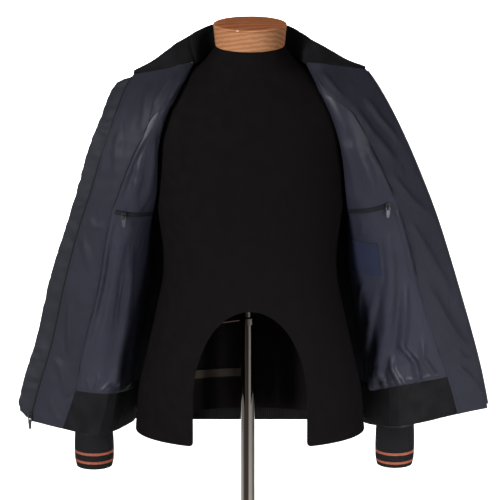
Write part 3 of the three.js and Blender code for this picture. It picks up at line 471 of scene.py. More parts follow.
shell_cloth = cloth_finish(
    "shell cloth", 0.01, 0.65, 0.10, ((0.0080, 0.0090, 0.0118), (0.0110, 0.0122, 0.0156), 18),
    (900, 0.12, 0.0004), ((1, 1, 0.6), (0, 0.5, 0.3), 34, 0.0022))
facing_cloth = cloth_finish(
    "facing cloth", 0.01, 0.6, 0.10, ((0.0080, 0.0085, 0.0130), (0.0100, 0.0107, 0.0160), 9),
    (1100, 0.08, 0.0003), ((1, 1, 0.35), (0, 0.35, 0), 30, 0.0035))
lining_cloth = cloth_finish(
    "lining nylon", 0.01, 0.46, 0.14, ((0.0088, 0.0093, 0.0150), (0.0110, 0.0116, 0.0184), 7),
    (1300, 0.06, 0.0003), ((1, 1, 0.28), (0, -0.2, 0), 44, 0.0032))
knit_cloth = cloth_finish(
    "rib knit", 0.004, 0.9, 0.03, ((0.0043, 0.0043, 0.0047), (0.0062, 0.0062, 0.0068), 40), KNIT_WEAVE)
form_cloth = cloth_finish(
    "form jersey", 0.003, 1.0, 0.0, ((0.0033, 0.0027, 0.0029), (0.0039, 0.0033, 0.0035), 60),
    (1400, 0.35, 0.0005))
zip_cloth = material("zip tape", (0.0050, 0.0053, 0.0070), 0.7, specular=0.06)
teeth_plastic = material("zip teeth", (0.005, 0.005, 0.0055), 0.4, specular=0.2)
dark_metal = material("dark nickel", (0.045, 0.045, 0.050), 0.48, metallic=1.0)
label_cloth = material("label cloth", (0.0075, 0.0095, 0.0200), 0.7, specular=0.08)
fine_bump(label_cloth, 2200, 0.15, 0.0002)
thread = material("thread", (0.008, 0.009, 0.012), 0.7, specular=0.1)
tan_board = material("bare board", (0.025, 0.020, 0.016), 0.9, specular=0.05)
# The pole's chrome carries painted reflections in its base colour.
chrome = painted_reflection_bands(material("pole chrome", (0.095, 0.084, 0.076), 0.10, metallic=1.0), POLE_PAINTED_REFLECTIONS)
base_paint = material("base paint", (0.006, 0.006, 0.006), 0.45, specular=0.3)
cuff_cloth = {}
for side in (-1, 1):
    cuff_cloth[side] = material(f"{SIDE_NAME[side]} cuff knit", (0.01, 0.01, 0.01), 0.9, specular=0.06)
    fine_bump(cuff_cloth[side], *KNIT_WEAVE)
    stripes_between(cuff_cloth[side], CUFF_SHADE, STRIPE_SHADE, CUFFS[side]["stripes"], STRIPE_HALF)


def wood_material():
    """Varnished wood with rings through it; its top is painted darker and redder as painted shade, and has
    no coat.
    """
    made = material("varnished wood", (0.5, 0.2, 0.06), 0.45, specular=0.0)
    shader_input(made, "Coat Roughness").default_value = 0.1
    place = add_node(made, "Mapping", {
        "Vector": place_on(made), "Location": (0.02, 0.03, -1.02), "Rotation": (0.05, 0.20, 0.45)})
    noise = add_node(made, "TexNoise", {"Vector": place, "Scale": 30.0, "Detail": 4.0}, "Fac")
    rings = {"Vector": place, "Scale": 42.0, "Distortion": 2.2, "Detail": 2.0, "Detail Scale": 2.0}
    wave = add_node(made, "TexWave", rings, "Fac", wave_type="RINGS", rings_direction="X")
    grain = add_node(made, "Mix", {0: 0.5, 2: wave, 3: noise}, data_type="FLOAT")
    up = add_node(made, "SeparateXYZ", {"Vector": place_on(made, "Normal")}, "Z")
    # Painted shade: the colour is multiplied darker and redder where the surface faces up, on the cap's top.
    top = {"Factor": up, "A": color_by(made, grain, WOOD_GRAIN), "B": (0.98, 0.76, 0.70, 1)}
    shade = add_node(made, "Mix", top, "Result", data_type="RGBA", blend_type="MULTIPLY")
    coat = {"Value": up, "To Min": WOOD_COAT["side"], "To Max": WOOD_COAT["top"]}
    link_to(made, "Coat Weight", add_node(made, "MapRange", coat, "Result"))
    return link_to(made, "Base Color", shade)


cap_wood = wood_material()


# Meshes
def mesh_object(name, points, faces):
    """A new object in the scene, from points in millimetres."""
    mesh = bpy.data.meshes.new(name)
    mesh.from_pydata((np.asarray(points, float).reshape(-1, 3) * MM).tolist(), [], faces)
    mesh.validate()
    made = bpy.data.objects.new(name, mesh)
    bpy.context.scene.collection.objects.link(made)
    return made


def finished(piece, finish, nodes=(), body=BODY, sharp=50):
    """Gives a piece its material, its shading and its body, and hides the nodes it stands for."""
    mesh = piece.data
    mesh.materials.clear()
    mesh.materials.append(finish)
    mesh.polygons.foreach_set("use_smooth", [True] * len(mesh.polygons))
    mesh.set_sharp_from_angle(angle=math.radians(sharp))
    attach(piece, body)
    if nodes:
        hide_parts(*nodes)
    return piece


def wall_faces(keep, wrap):
    """Quads of a closed wall between an outer and an inner sheet of points, over the cells that are kept."""
    columns, rows = keep.shape
    across = columns if wrap else columns + 1
    at = np.arange(across * (rows + 1)).reshape(across, rows + 1)
    i, j = np.nonzero(keep)
    after = (i + 1) % across
    outer = np.stack([at[i, j], at[i, j + 1], at[after, j + 1], at[after, j]], 1)
    inner = outer[:, [0, 3, 2, 1]] + at.size
    faces = [outer, inner]
    edges = [outer[:, [k, (k + 1) % 4]] for k in (3, 1, 0, 2)]
    codes = np.concatenate([edge[:, 0] * at.size + edge[:, 1] for edge in edges])
    for edge in edges:
        open_edge = edge[~np.isin(edge[:, 1] * at.size + edge[:, 0], codes)]
        faces.append(np.concatenate([open_edge[:, ::-1], open_edge + at.size], 1))
    return np.concatenate(faces)


def closed_wall(name, outer, inner, finish, nodes=(), keep=None, wrap=False):
    """A piece between an outer and an inner sheet of points, with closed rims."""
    if keep is None:
        keep = np.ones((outer.shape[0] - (0 if wrap else 1), outer.shape[1] - 1), bool)
    faces = wall_faces(keep, wrap)
    points = np.concatenate([outer.reshape(-1, 3), inner.reshape(-1, 3)])
    corners = points[faces]
    normal = np.cross(corners[:, 2] - corners[:, 0], corners[:, 3] - corners[:, 1])
    if float((corners.mean(1) * normal).sum()) < 0:
        faces = faces[:, ::-1]
    used = np.unique(faces)
    renumber = np.zeros(len(points), int)
    renumber[used] = np.arange(len(used))
    piece = mesh_object(name, points[used] + DRESSED_SHIFT, renumber[faces].tolist())
    return finished(piece, finish, nodes)


def cloth_piece(node, outer, inner, finish, keep=None):
    """A cloth panel between two sheets of points; the node it stands for is hidden."""
    piece = closed_wall(f"{node}_cloth", outer, inner, finish, [node], keep)


def stations(stops, step):
    """Values from the first stop to the last, evenly spaced between stops and no wider than step."""
    values = []
    for a, b in zip(stops, stops[1:]):
        parts = max(1, math.ceil(abs(b - a) / step - 1e-9))
        values += [a + (b - a) * n / parts for n in range(parts)]
    return np.array(values + [stops[-1]])


def rim_mask(us, vs, u_range, v_range, du, dv):
    """1 in the middle of a panel, easing to 0 at its edges."""
    u = smooth(np.minimum(us - u_range[0], u_range[1] - us) / du)
    v = smooth(np.minimum(vs - v_range[0], v_range[1] - vs) / dv)
    return u[:, None] * v[None, :]


def beyond_facing_seam(us, vs, row):
    """The cells of a panel that are above a row or beyond the facing's seam."""
    u, v = (us[1:] + us[:-1]) / 2, (vs[1:] + vs[:-1]) / 2
    return (v[None, :] < row) | (u[:, None] > FACING_SEAM)

# Creases: three places as column and row, then half width and height in millimetres
LINING_CREASES = {
    -1: [
        (2.62, 2.2, 2.80, 3.3, 2.84, 4.3, 8, 4.6), (2.45, 3.0, 2.15, 3.6, 2.2, 4.3, 11, 3.0),
        (1.6, 2.7, 1.4, 3.4, 1.55, 4.2, 11, 2.2), (2.84, 4.5, 2.86, 5.8, 2.88, 7.2, 7, 5.0),
        (2.3, 4.9, 2.35, 5.8, 2.25, 7.4, 13, 3.8), (1.9, 5.2, 1.72, 6.4, 1.8, 7.7, 15, 5.4),
        (1.35, 5.8, 1.4, 7.0, 1.34, 7.8, 13, 4.8), (2.6, 5.9, 2.45, 6.5, 2.6, 7.2, 9, 1.8),
        (1.2, 7.70, 1.36, 7.80, 1.42, 7.90, 4.5, 1.5), (1.62, 7.58, 1.74, 7.74, 1.72, 7.88, 4.2, 1.9),
        (1.98, 7.72, 2.08, 7.80, 2.22, 7.92, 4.0, 1.6), (2.42, 7.50, 2.34, 7.68, 2.42, 7.86, 4.6, 2.0),
        (2.78, 7.66, 2.66, 7.76, 2.60, 7.90, 4.2, 1.6), (2.72, 5.0, 2.5, 5.25, 2.25, 5.3, 6, 1.2),
        (1.3, 2.05, 1.34, 2.3, 1.30, 2.62, 5, 2.6), (1.62, 1.95, 1.55, 2.2, 1.62, 2.45, 4, 1.8),
    ],
    1: [
        (2.65, 2.7, 2.7, 3.4, 2.62, 4.1, 13, 3.6), (2.0, 2.6, 2.15, 3.4, 2.1, 4.1, 13, 2.6),
        (1.4, 2.4, 1.55, 3.3, 1.5, 4.1, 13, 2.2), (2.9, 3.0, 2.87, 5.0, 2.9, 7.2, 7, 4.8),
        (2.38, 4.9, 2.35, 5.6, 2.2, 6.3, 13, 4.5), (1.75, 4.7, 1.65, 5.0, 1.5, 5.2, 8, 1.6),
        (2.45, 5.6, 1.9, 6.8, 1.25, 7.95, 18, 10.5), (2.68, 5.9, 2.4, 6.6, 2.12, 7.3, 11, 7.0),
        (2.2, 6.8, 2.44, 7.4, 2.42, 7.95, 9, 8.0), (2.0, 7.1, 1.93, 7.55, 2.08, 7.97, 7, 6.0),
        (1.72, 7.15, 1.56, 7.6, 1.66, 7.97, 8, 6.5), (1.95, 6.0, 1.5, 6.7, 1.2, 7.2, 11, 5.5),
        (1.7, 5.95, 1.4, 6.2, 1.2, 6.6, 7, 2.4), (2.74, 6.8, 2.62, 7.3, 2.74, 7.8, 8, 5.0),
        (1.4, 7.2, 1.2, 7.6, 1.3, 7.95, 8, 4.6), (1.15, 7.9, 1.6, 7.88, 2.0, 7.93, 3.5, 1.8),
        (2.1, 7.86, 2.5, 7.90, 2.85, 7.84, 3.5, 1.6),
    ],
}
FACING_CREASES = {
    -1: [
        (3.85, 4.6, 3.5, 4.9, 3.15, 4.85, 8, 2.6), (3.9, 5.2, 3.55, 5.4, 3.2, 5.9, 10, 3.6),
        (3.8, 6.2, 3.5, 6.8, 3.3, 7.2, 10, 3.6), (3.9, 7.2, 3.6, 7.4, 3.2, 8.1, 10, 3.4),
        (3.5, 0.4, 3.3, 1.2, 3.15, 2.4, 11, 3.8), (3.8, 2.2, 3.6, 3.0, 3.3, 3.6, 11, 3.4),
        (3.7, 8.2, 3.5, 8.5, 3.2, 8.8, 7, 2.0), (2.0, 0.2, 2.6, 0.8, 3.0, 1.7, 9, 2.6),
        (1.3, 0.5, 1.5, 1.0, 1.6, 1.5, 6, 1.8), (1.2, 1.15, 1.8, 1.25, 2.4, 1.2, 4, 1.4),
    ],
    1: [
        (3.08, 1.4, 3.2, 2.6, 3.5, 3.6, 12, 4.6), (3.5, 1.2, 3.6, 2.2, 3.85, 3.2, 10, 4.2),
        (3.15, 3.6, 3.4, 4.3, 3.85, 4.9, 11, 5.0), (3.1, 4.8, 3.4, 5.5, 3.8, 6.4, 12, 5.4),
        (3.15, 6.0, 3.5, 6.8, 3.9, 7.3, 12, 5.4), (3.45, 7.1, 3.6, 7.5, 3.85, 7.6, 8, 3.2),
        (3.25, 7.6, 3.55, 8.0, 3.85, 8.5, 10, 4.2), (1.9, 0.2, 2.3, 0.7, 3.0, 1.3, 9, 2.4),
        (1.3, 0.3, 1.4, 0.7, 1.7, 1.1, 6, 1.8),
    ],
}
SHELL_CREASES = {
    -1: [
        (3.8, 3.5, 3.2, 4.2, 2.4, 4.6, 13, 3.0), (2.2, 5.2, 2.8, 6.0, 3.6, 6.5, 14, 3.2),
        (1.6, 6.5, 2.4, 7.2, 3.4, 7.4, 13, 2.8), (1.4, 2.0, 2.0, 3.0, 2.9, 3.3, 12, 2.6),
        (2.0, 7.3, 2.1, 7.7, 2.05, 7.98, 7, 2.4), (2.6, 7.4, 2.65, 7.7, 2.55, 7.98, 6, 2.0),
    ],
    1: [
        (3.7, 3.2, 3.0, 4.1, 2.2, 4.3, 13, 3.0), (2.0, 5.0, 2.7, 5.9, 3.5, 6.2, 14, 3.2),
        (1.7, 6.6, 2.3, 7.1, 3.3, 7.5, 13, 2.8), (1.5, 2.2, 2.2, 2.9, 3.0, 3.5, 12, 2.6),
        (1.8, 7.2, 1.9, 7.7, 1.85, 7.98, 7, 2.4), (2.5, 7.5, 2.4, 7.7, 2.5, 7.98, 6, 2.0),
    ],
}
BACK_CREASES = [
    (0.7, 2.4, 1.6, 2.9, 2.6, 3.0, 17, 4.0), (7.3, 2.6, 6.5, 3.1, 5.4, 3.2, 17, 4.2),
    (0.5, 4.4, 1.3, 3.9, 2.2, 3.9, 15, 3.6), (7.5, 4.6, 6.7, 4.2, 5.9, 4.1, 15, 3.4),
    (1.0, 6.0, 2.4, 6.5, 3.6, 6.4, 20, 3.6), (7.0, 5.7, 5.9, 6.3, 4.7, 6.2, 20, 3.8),
    (2.6, 7.1, 4.1, 7.25, 5.5, 7.05, 16, 3.0), (3.1, 1.2, 3.3, 2.4, 3.2, 3.3, 18, 2.6),
    (4.9, 1.3, 4.8, 2.3, 5.0, 3.1, 18, 2.4), (0.9, 6.9, 1.5, 7.3, 2.0, 7.9, 10, 3.4),
    (7.2, 6.8, 6.7, 7.3, 6.2, 7.9, 10, 3.6), (3.3, 7.3, 3.4, 7.7, 3.3, 7.97, 8, 3.0),
    (5.0, 7.2, 4.9, 7.6, 5.1, 7.97, 8, 2.8), (1.2, 3.1, 1.5, 3.6, 1.6, 4.4, 13, 3.0),
    (6.8, 3.2, 6.5, 3.7, 6.5, 4.5, 13, 3.2),
]
BACK_FULLNESS = 1.8


LINING_TOP = 1.5
LINING_TOP_COLUMNS = (1, 1.5, 2, 2.5, 2.8, 3)
LINING_TOP_ROWS = {-1: (1.52, 1.56, 1.62, 1.74, 1.88, 2.05), 1: (1.10, 1.18, 1.28, 1.45, 1.66, 1.98)}
LINING_TOP_REACH = (0.2, 4.0)


def upper_edge(side, us, vs):
    """Rows of the cloth for a panel's own rows, so that the lining's upper edge slants."""
    low, high = LINING_TOP_REACH
    near = smooth((vs - low) / (LINING_TOP - low)) * (1 - smooth((vs - LINING_TOP) / (high - LINING_TOP)))
    shift = np.interp(us, LINING_TOP_COLUMNS, LINING_TOP_ROWS[side]) - LINING_TOP
    shift = shift * (1 - smooth((us - FACING_SEAM) / 0.8))
    return vs[None, :] + shift[:, None] * near[None, :]


def slanted(side, us, vs, grid_of):
    """A grid of points whose rows follow the lining's slanted upper edge."""
    first = min(vs[0], *LINING_TOP_ROWS[side])
    fine = np.linspace(first, vs[-1], 3 * len(vs))
    values = grid_of(us, fine)
    rows = np.clip(upper_edge(side, us, vs), fine[0], fine[-1])
    place = (rows - fine[0]) / (fine[1] - fine[0])
    k = np.clip(place.astype(int), 0, len(fine) - 2)
    share = (place - k)[..., None]
    column = np.arange(len(us))[:, None]
    return values[column, k] * (1 - share) + values[column, k + 1] * share


def lining_height(side, us, vs):
    """How far the lining stands off its panel towards the viewer."""
    points = FRONTS[side].points(us, vs)
    height = np.clip(summed(FRONTS[side], LINING_CREASES[side], us, vs), 0, HIGHEST_FOLD["lining"])
    ripple = 0.3 * rippling("lining", side, points) * (0.4 + 0.1 * height)
    height = height + 0.8 + 0.7 * rippling("billow", side, points) + ripple
    height = height * rim_mask(us, vs, (0.7, FACING_SEAM), (LINING_TOP, RIB_TOP + 0.05), 0.1, 0.12)
    height *= smooth((vs - LINING_TOP) / 1.7)[None, :] * smooth((us - 0.9) / 0.3)[:, None]
    u, v = np.meshgrid(us, vs, indexing="ij")
    zip_row = np.interp(u, POCKET_ZIPS[side]["columns"], POCKET_ZIPS[side]["rows"])
    height *= 0.12 + 0.88 * smooth((np.abs(v - zip_row) - 0.12) / 0.25)
    return np.clip(height, 0, None)


def lining_far(side, us, vs):
    """The lining's viewer side, as a distance from its panel; folds are lower round the label."""
    height = lining_height(side, us, vs)
    if side == 1:
        (u0, u1), (v0, v1) = LABEL["columns"], LABEL["rows"]
        beside = np.maximum(np.maximum(u0 - us, us - u1), 0)[:, None]
        above = np.maximum(np.maximum(v0 - vs, vs - v1), 0)[None, :]
        height = height * (0.15 + 0.85 * smooth(np.hypot(beside, above) / LABEL["quiet"]))
    return -LAYER_GAP / 2 - LINING_WALL - height


def folded(kind, side, cloth, creases, us, vs):
    """How far a panel's cloth stands off it, by its creases and its rippling."""
    lift, share, highest, *rims = RELIEF[kind]
    folds = summed(cloth, creases, us, vs) + lift + share * rippling(kind, side, cloth.points(us, vs))
    return np.clip(folds, 0, highest) * rim_mask(us, vs, *rims)


def build_front(side):
    us = stations((0, 1, FACING_SEAM, ZIP_COLUMN), 0.05)
    vs = stations((0, 1, 3, UNDERARM, RIB_TOP, HEM), 0.06)
    rise = folded("shell", side, FRONTS[side], SHELL_CREASES[side], us, vs)
    inner, outer = [FRONTS[side].offset(us, vs, wall + rise) for wall in SHELL]
    name = f"front_{SIDE_NAME[side]}"
    keep = beyond_facing_seam(us, vs, RIB_TOP)
    cloth_piece(name, outer, inner, shell_cloth, keep)
    lower = outer[us <= FACING_SEAM][:, vs < RIB_TOP]
    sew(f"{name}_stitches", lower[2:-2], [("row", 0.99)], TO_BACK)


def build_facing(side):
    cloth = FRONTS[side]
    us = stations((5 / 6, FACING_SEAM, ZIP_COLUMN), 0.045)
    vs = stations((0, LINING_TOP, 3, UNDERARM, RIB_TOP, HEM), 0.05)

    def sheet(distance):
        def grid(us, vs):
            height = folded("facing", side, cloth, FACING_CREASES[side], us, vs)
            return cloth.offset(us, vs, distance - height)

        return slanted(side, us, vs, grid)

    far, near = [sheet(distance) for distance in FACING]
    name = f"facing_{SIDE_NAME[side]}"
    keep = beyond_facing_seam(us, vs, LINING_TOP)
    cloth_piece(name, near, far, facing_cloth, keep)
    strip = far[us >= FACING_SEAM][:, 2:-2]
    sew(f"{name}_stitches", strip, [("column", 0.07), ("column", 0.93)], TO_FRONT)


def build_lining(side):
    us = stations((2 / 3, 1, FACING_SEAM), 0.035)
    vs = stations((LINING_TOP, 3, UNDERARM, RIB_TOP), 0.035)

    def sheet(distance):
        def grid(us, vs):
            return FRONTS[side].offset(us, vs, lining_far(side, us, vs) + distance)

        return slanted(side, us, vs, grid)

    far, near = sheet(0), sheet(LINING_WALL)
    name = f"lining_{SIDE_NAME[side]}"
    cloth_piece(name, near, far, lining_cloth)
    sew(f"{name}_stitches", far[10:-2], [("row", 0.99)], TO_FRONT)


def build_back():
    us = stations((0, 2, 4, 6, BACK_COLUMNS), 0.08)
    vs = stations((SHOULDER_ROW, 1, 3, UNDERARM, RIB_TOP), 0.05)
    gather = np.sin(us * 2 * np.pi * 3.1 + 0.8 * np.sin(2.3 * us)) * (0.6 + 0.4 * np.sin(1.7 * us + 1))
    low = eased(vs, 7.1, RIB_TOP, 0.8, 0.12)[None, :]
    full = [(*row[:-1], BACK_FULLNESS * row[-1]) for row in BACK_CREASES]
    height = folded("back", 0, BACK_CLOTH, full, us, vs) + 1.6 * (1 + gather[:, None] * low) * low
    inner, outer = [BACK_CLOTH.offset(us, vs, wall + height) for wall in SHELL]
    cloth_piece("back", outer, inner, shell_cloth)
    lines = [("column", 0.015), ("column", 0.985), ("row", 0.985)]
    sew("back_stitches", outer[:, 2:-2], lines, TO_BACK)


def knit_ribs(along, fade, pitch=KNIT_PITCH):
    """Rib relief by the distance along the knit's edge, easing to nothing at its seams."""
    return KNIT_HEIGHT * smooth(0.5 + 0.5 * np.cos(2 * np.pi * along / pitch))[:, None] * fade[None, :]


def knit_places(length):
    """Distances along a knit's edge, the same number over each rib."""
    return np.linspace(0, length, int(length / KNIT_PITCH) * POINTS_PER_RIB + 1)


def knit_wall(node, middle, normal, out, back):
    """A knit band that reaches out and back from its middle sheet of points."""
    outer, inner = middle + normal * out[..., None], middle - normal * back[..., None]
    piece = closed_wall(f"{node}_knit", outer, inner, knit_cloth, [node])


def build_hem():
    seam = stations((FACING_SEAM, 1, 0), 0.25)
    behind = stations((0.001, 2, 4, 6, BACK_COLUMNS - 0.001), 1 / 3)
    rows = stations((RIB_TOP, HEM), 0.1)
    parts = ((FRONTS[-1], seam), (BACK_CLOTH, behind), (FRONTS[1], seam[::-1]))
    points = np.concatenate([cloth.points(us, rows) for cloth, us in parts])
    normals = np.concatenate([cloth.normals(us, rows) for cloth, us in parts])
    length = distance_along(points[:, 0])
    along = knit_places(length[-1])
    place = np.interp(along, length, np.arange(len(length)))
    middle, normal = at_places(points, place), unit(at_places(normals, place))
    rib = knit_ribs(along, eased(rows, RIB_TOP, HEM, 0.06, 0.05))
    bulge = 0.8 * np.sin(np.pi * (rows - RIB_TOP))[None, :]
    half = HEM_WALL / 2 + rib
    knit_wall("hem_band", middle, normal, half + bulge, half + 0.4 * bulge)


def build_collar():
    count = COLLAR_STATIONS
    ends = [(-1 if 2 * n <= count else 1, min(n, count - n)) for n in range(count + 1)]
    rises = np.array([COLLAR_RISE[side][n] for side, n in ends], float)
    rises[:, 0] *= np.where(np.arange(count + 1) < count / 2, -1, 1)
    inside = len(COLLAR_FRONT_COLUMNS) - 1

    def seam_at(t):
        """Points just off the neck seam, and the cloth's normals there."""
        from_end = np.minimum(t, count - t)
        u_front = np.interp(from_end, range(inside + 1), COLLAR_FRONT_COLUMNS)
        seam, normal = np.zeros((2, len(t), 3))
        for cloth, u, v, chosen in (
            (FRONTS[-1], u_front, 0, (from_end <= inside) & (t < count / 2)),
            (FRONTS[1], u_front, 0, (from_end <= inside) & (t >= count / 2)),
            (BACK_CLOTH, 2 + t - inside, SHOULDER_ROW, from_end > inside),
        ):
            us = u[chosen]
            top = cloth.points(us, [v])[:, 0]
            seam[chosen] = top + unit(top - cloth.points(us, [v + 2 * STEP])[:, 0]) * COLLAR_SET_OFF
            normal[chosen] = cloth.normals(us, [v])[:, 0]
        return seam, normal

    rough, _ = seam_at(np.linspace(0, count, 241))
    along = knit_places(distance_along(rough)[-1])
    t = np.linspace(0, count, len(along))
    seam, seam_normal = seam_at(t)
    rise = curve_at(rises[:, None, :], t)[:, 0]
    shares = np.linspace(0, 1, 13)
    middle = seam[:, None] + rise[:, None] * shares[None, :, None]
    normal = unit(np.cross(np.gradient(middle, axis=0), -rise[:, None]))
    blend = smooth(shares / 0.5)[None, :, None]
    normal = unit(seam_normal[:, None] * (1 - blend) + normal * blend)
    rib = knit_ribs(along, eased(shares, 0, 1, 0.1, 0.1))
    half = COLLAR_WALL / 2 * (1 - 0.45 * smooth((shares - 0.88) / 0.12) ** 2)[None, :]
    curl = 1.5 * np.sin(np.pi * shares)[None, :]
    knit_wall("collar", middle, normal, half + rib + curl, half + rib - curl)


def build_sleeve(side):
    sides, around = 14, 96
    share = np.arange(sides) / sides
    edge = [
        (FRONTS[side].points([0], [UNDERARM * part]) if part <= 1
         else BACK_CLOTH.points([0 if side < 0 else BACK_COLUMNS], [UNDERARM * (2 - part)]))[0, 0]
        for part in 2 * share
    ]
    rings = [np.array(edge) + np.array([side * ARMHOLE_SET_OFF, 0, 0])]
    angle = 2 * np.pi * share[:, None]
    for out_x, out_z, in_x, in_z, back, half in SLEEVES[side]:
        middle = np.array([(out_x + in_x) / 2, back, (out_z + in_z) / 2])
        reach = np.array([(out_x - in_x) / 2, 0, (out_z - in_z) / 2])
        ring = middle + np.cos(angle) * reach - np.sin(angle) * np.array([0, half, 0])
        rings.append(ring * np.array([side, 1, 1]))
    rings = np.array(rings)
    last = len(rings) - 1
    closed = np.concatenate([rings[:, -2:], rings, rings[:, :3]], axis=1).transpose(1, 0, 2)
    turned = curve_at(closed, 2 + np.arange(around) * sides / around)
    rows = stations((0, last), 0.07)
    grid = curve_at(turned.transpose(1, 0, 2), rows).transpose(1, 0, 2)
    across = np.roll(grid, -1, axis=0) - np.roll(grid, 1, axis=0)
    normal = unit(np.cross(across, np.gradient(grid, axis=1)) * -side)
    theta = (2 * np.pi * np.arange(around) / around)[:, None]
    row = rows[None, :]
    height = 0.8 + 0.5 * np.sin(3 * theta + 1.1 * row) * np.sin(0.9 * row + side)
    for centre, spread, lean, size in SLEEVE_GATHERS:
        shifted = row - centre - lean * np.sin(theta + centre * side)
        uneven = 0.55 + 0.45 * np.sin(2 * theta + 2.3 * centre)
        height = height + size * uneven * np.exp(-((shifted / spread) ** 2))
    height = height * eased(row, 0, last, 0.5, 0.12) - 0.5 * smooth((row - 8.5) / 1.2)
    tuck = side * (ARMHOLE_SET_OFF - 1.2) * (1 - smooth(rows / 0.25))
    middle = grid - np.stack([tuck, 0 * tuck, 0 * tuck], -1)
    outer = middle + normal * (height + SLEEVE_HALF_WALL)[..., None]
    inner = middle + normal * (height - SLEEVE_HALF_WALL)[..., None]
    name = f"sleeve_{SIDE_NAME[side]}"
    piece = closed_wall(f"{name}_cloth", outer, inner, shell_cloth, [name], wrap=True)


def build_cuff(side):
    size = CUFFS[side]
    around = CUFF_RIBS * POINTS_PER_RIB
    rows = np.linspace(size["top"], size["bottom"], 25)
    angle = (2 * np.pi * np.arange(around) / around)[:, None]
    share = np.linspace(0, 1, len(rows))
    rib = knit_ribs(np.arange(around), eased(share, 0, 1, 0.05, 0.05), POINTS_PER_RIB)
    bulge = (1.3 * np.sin(np.pi * share) - 1.6 * smooth((share - 0.8) / 0.2))[None, :] - 0.2

    def sheet(away):
        x = size["middle"][0] + (size["half"][0] + away) * np.cos(angle)
        y = size["middle"][1] + (size["half"][1] + away) * np.sin(angle)
        return np.stack([side * x, y, np.broadcast_to(rows[None, :], x.shape)], -1)

    outer, inner = sheet(rib + bulge), sheet(bulge - CUFF_WALL)
    name = f"cuff_{SIDE_NAME[side]}"
    piece = closed_wall(f"{name}_knit", outer, inner, cuff_cloth[side], [name], wrap=True)


def beyond_zip(side, vs, out, behind):
    """Points past a front's edge in the plane of its wing: (len(out), rows, 3)."""
    cloth = FRONTS[side]
    edge = cloth.points([ZIP_COLUMN], vs)[0]
    outward = unit(edge - cloth.points([ZIP_COLUMN - 0.1], vs)[0])
    normal = cloth.normals([ZIP_COLUMN], vs)[0]
    out = np.broadcast_to(out, (np.shape(out)[0], len(vs)))
    behind = np.broadcast_to(behind, out.shape)
    return edge[None] + outward[None] * out[..., None] + normal[None] * behind[..., None]


def build_flap():
    vs = stations(FLAP_ROWS, 0.06)
    width = np.interp(vs, FLAP_ROWS, FLAP_WIDTHS)
    share = np.linspace(0, 1, 15)[:, None]
    out = FLAP_ROOT + share * (width - FLAP_ROOT)[None, :]
    near = SHELL[1] + LAYER_GAP
    height = np.interp(vs, np.arange(10), [edge[2] for edge in RIGHT_FRONT["zip"]])
    ripple = rippling("flap", 0, np.stack(np.broadcast_arrays(out, 0.0, height[None, :]), -1))
    wobble = np.clip(1.3 * (1 + ripple), 0, HIGHEST_FOLD["flap"]) * smooth(share / 0.4)
    groove = 0.5 * np.exp(-(((share - 0.82) * 30) ** 2 / 8))
    rounded = 0.9 * (1 - smooth((1 - share) / 0.08))
    outer = beyond_zip(-1, vs, out, near + FLAP_WALL + wobble - rounded)
    inner = beyond_zip(-1, vs, out, near + wobble + rounded + groove)
    cloth_piece("storm_flap", outer, inner, shell_cloth)
    sew("storm_flap_stitches", inner[:, 2:-2], [("column", 0.80)], TO_FRONT)
    sew("storm_flap_back_stitches", outer[:, 2:-2], [("column", 0.80)], TO_BACK)


def boxes(name, centres, axes, sizes, finish):
    """Many small boxes as one mesh: centres (n, 3), axes (n, 3, 3) by rows, half sizes (3,)."""
    corners = np.array([(x, y, z) for x in (-1, 1) for y in (-1, 1) for z in (-1, 1)]) * np.array(sizes)
    points = centres[:, None] + np.einsum("kc,ncd->nkd", corners, axes)
    quads = np.array([(0, 1, 3, 2), (4, 6, 7, 5), (0, 4, 5, 1), (2, 3, 7, 6), (0, 2, 6, 4), (1, 5, 7, 3)])
    faces = (quads[None] + 8 * np.arange(len(centres))[:, None, None]).reshape(-1, 4).tolist()
    finished(mesh_object(name, points + DRESSED_SHIFT, faces), finish, sharp=30)


def resampled(values, line, pitch):
    """Values at even distances along a line of points."""
    length = distance_along(line)
    return np.interp(np.arange(pitch / 2, length[-1], pitch), length, values)


def build_zip(side):
    vs = stations((0.1, 8.9), 0.08)
    first, last = ZIP_TEETH["from"], ZIP_TEETH["to"]
    across = np.array([[first], [last + ZIP_TAPE["past_teeth"]]])
    outer, inner = [beyond_zip(side, vs, across, half) for half in (ZIP_TAPE["half"], -ZIP_TAPE["half"])]
    name = f"zip_{SIDE_NAME[side]}"
    closed_wall(f"{name}_tape", outer, inner, zip_cloth, [name])
    rows = resampled(vs, beyond_zip(side, vs, np.array([[last]]), 0.0)[0], ZIP_TEETH["pitch"])
    centres = beyond_zip(side, rows, np.array([[(first + last) / 2 + 0.4]]), 0.0)[0]
    out = unit(beyond_zip(side, rows, np.array([[last]]), 0.0)[0] - centres)
    normal = FRONTS[side].normals([ZIP_COLUMN], rows)[0]
    axes = np.stack([out, normal, np.cross(out, normal)], 1)
    boxes(f"{name}_teeth", centres, axes, ZIP_TEETH["half"], teeth_plastic)


def lining_frame(side, u, v):
    """Points and directions on the lining's viewer side, for arrays u and v of one shape."""
    cloth = FRONTS[side]
    pair = np.arange(len(u))
    normals = cloth.normals(u, v)[pair, pair]
    depth = lining_far(side, u, v)[pair, pair]
    return cloth.points(u, v)[pair, pair] + normals * depth[:, None], normals


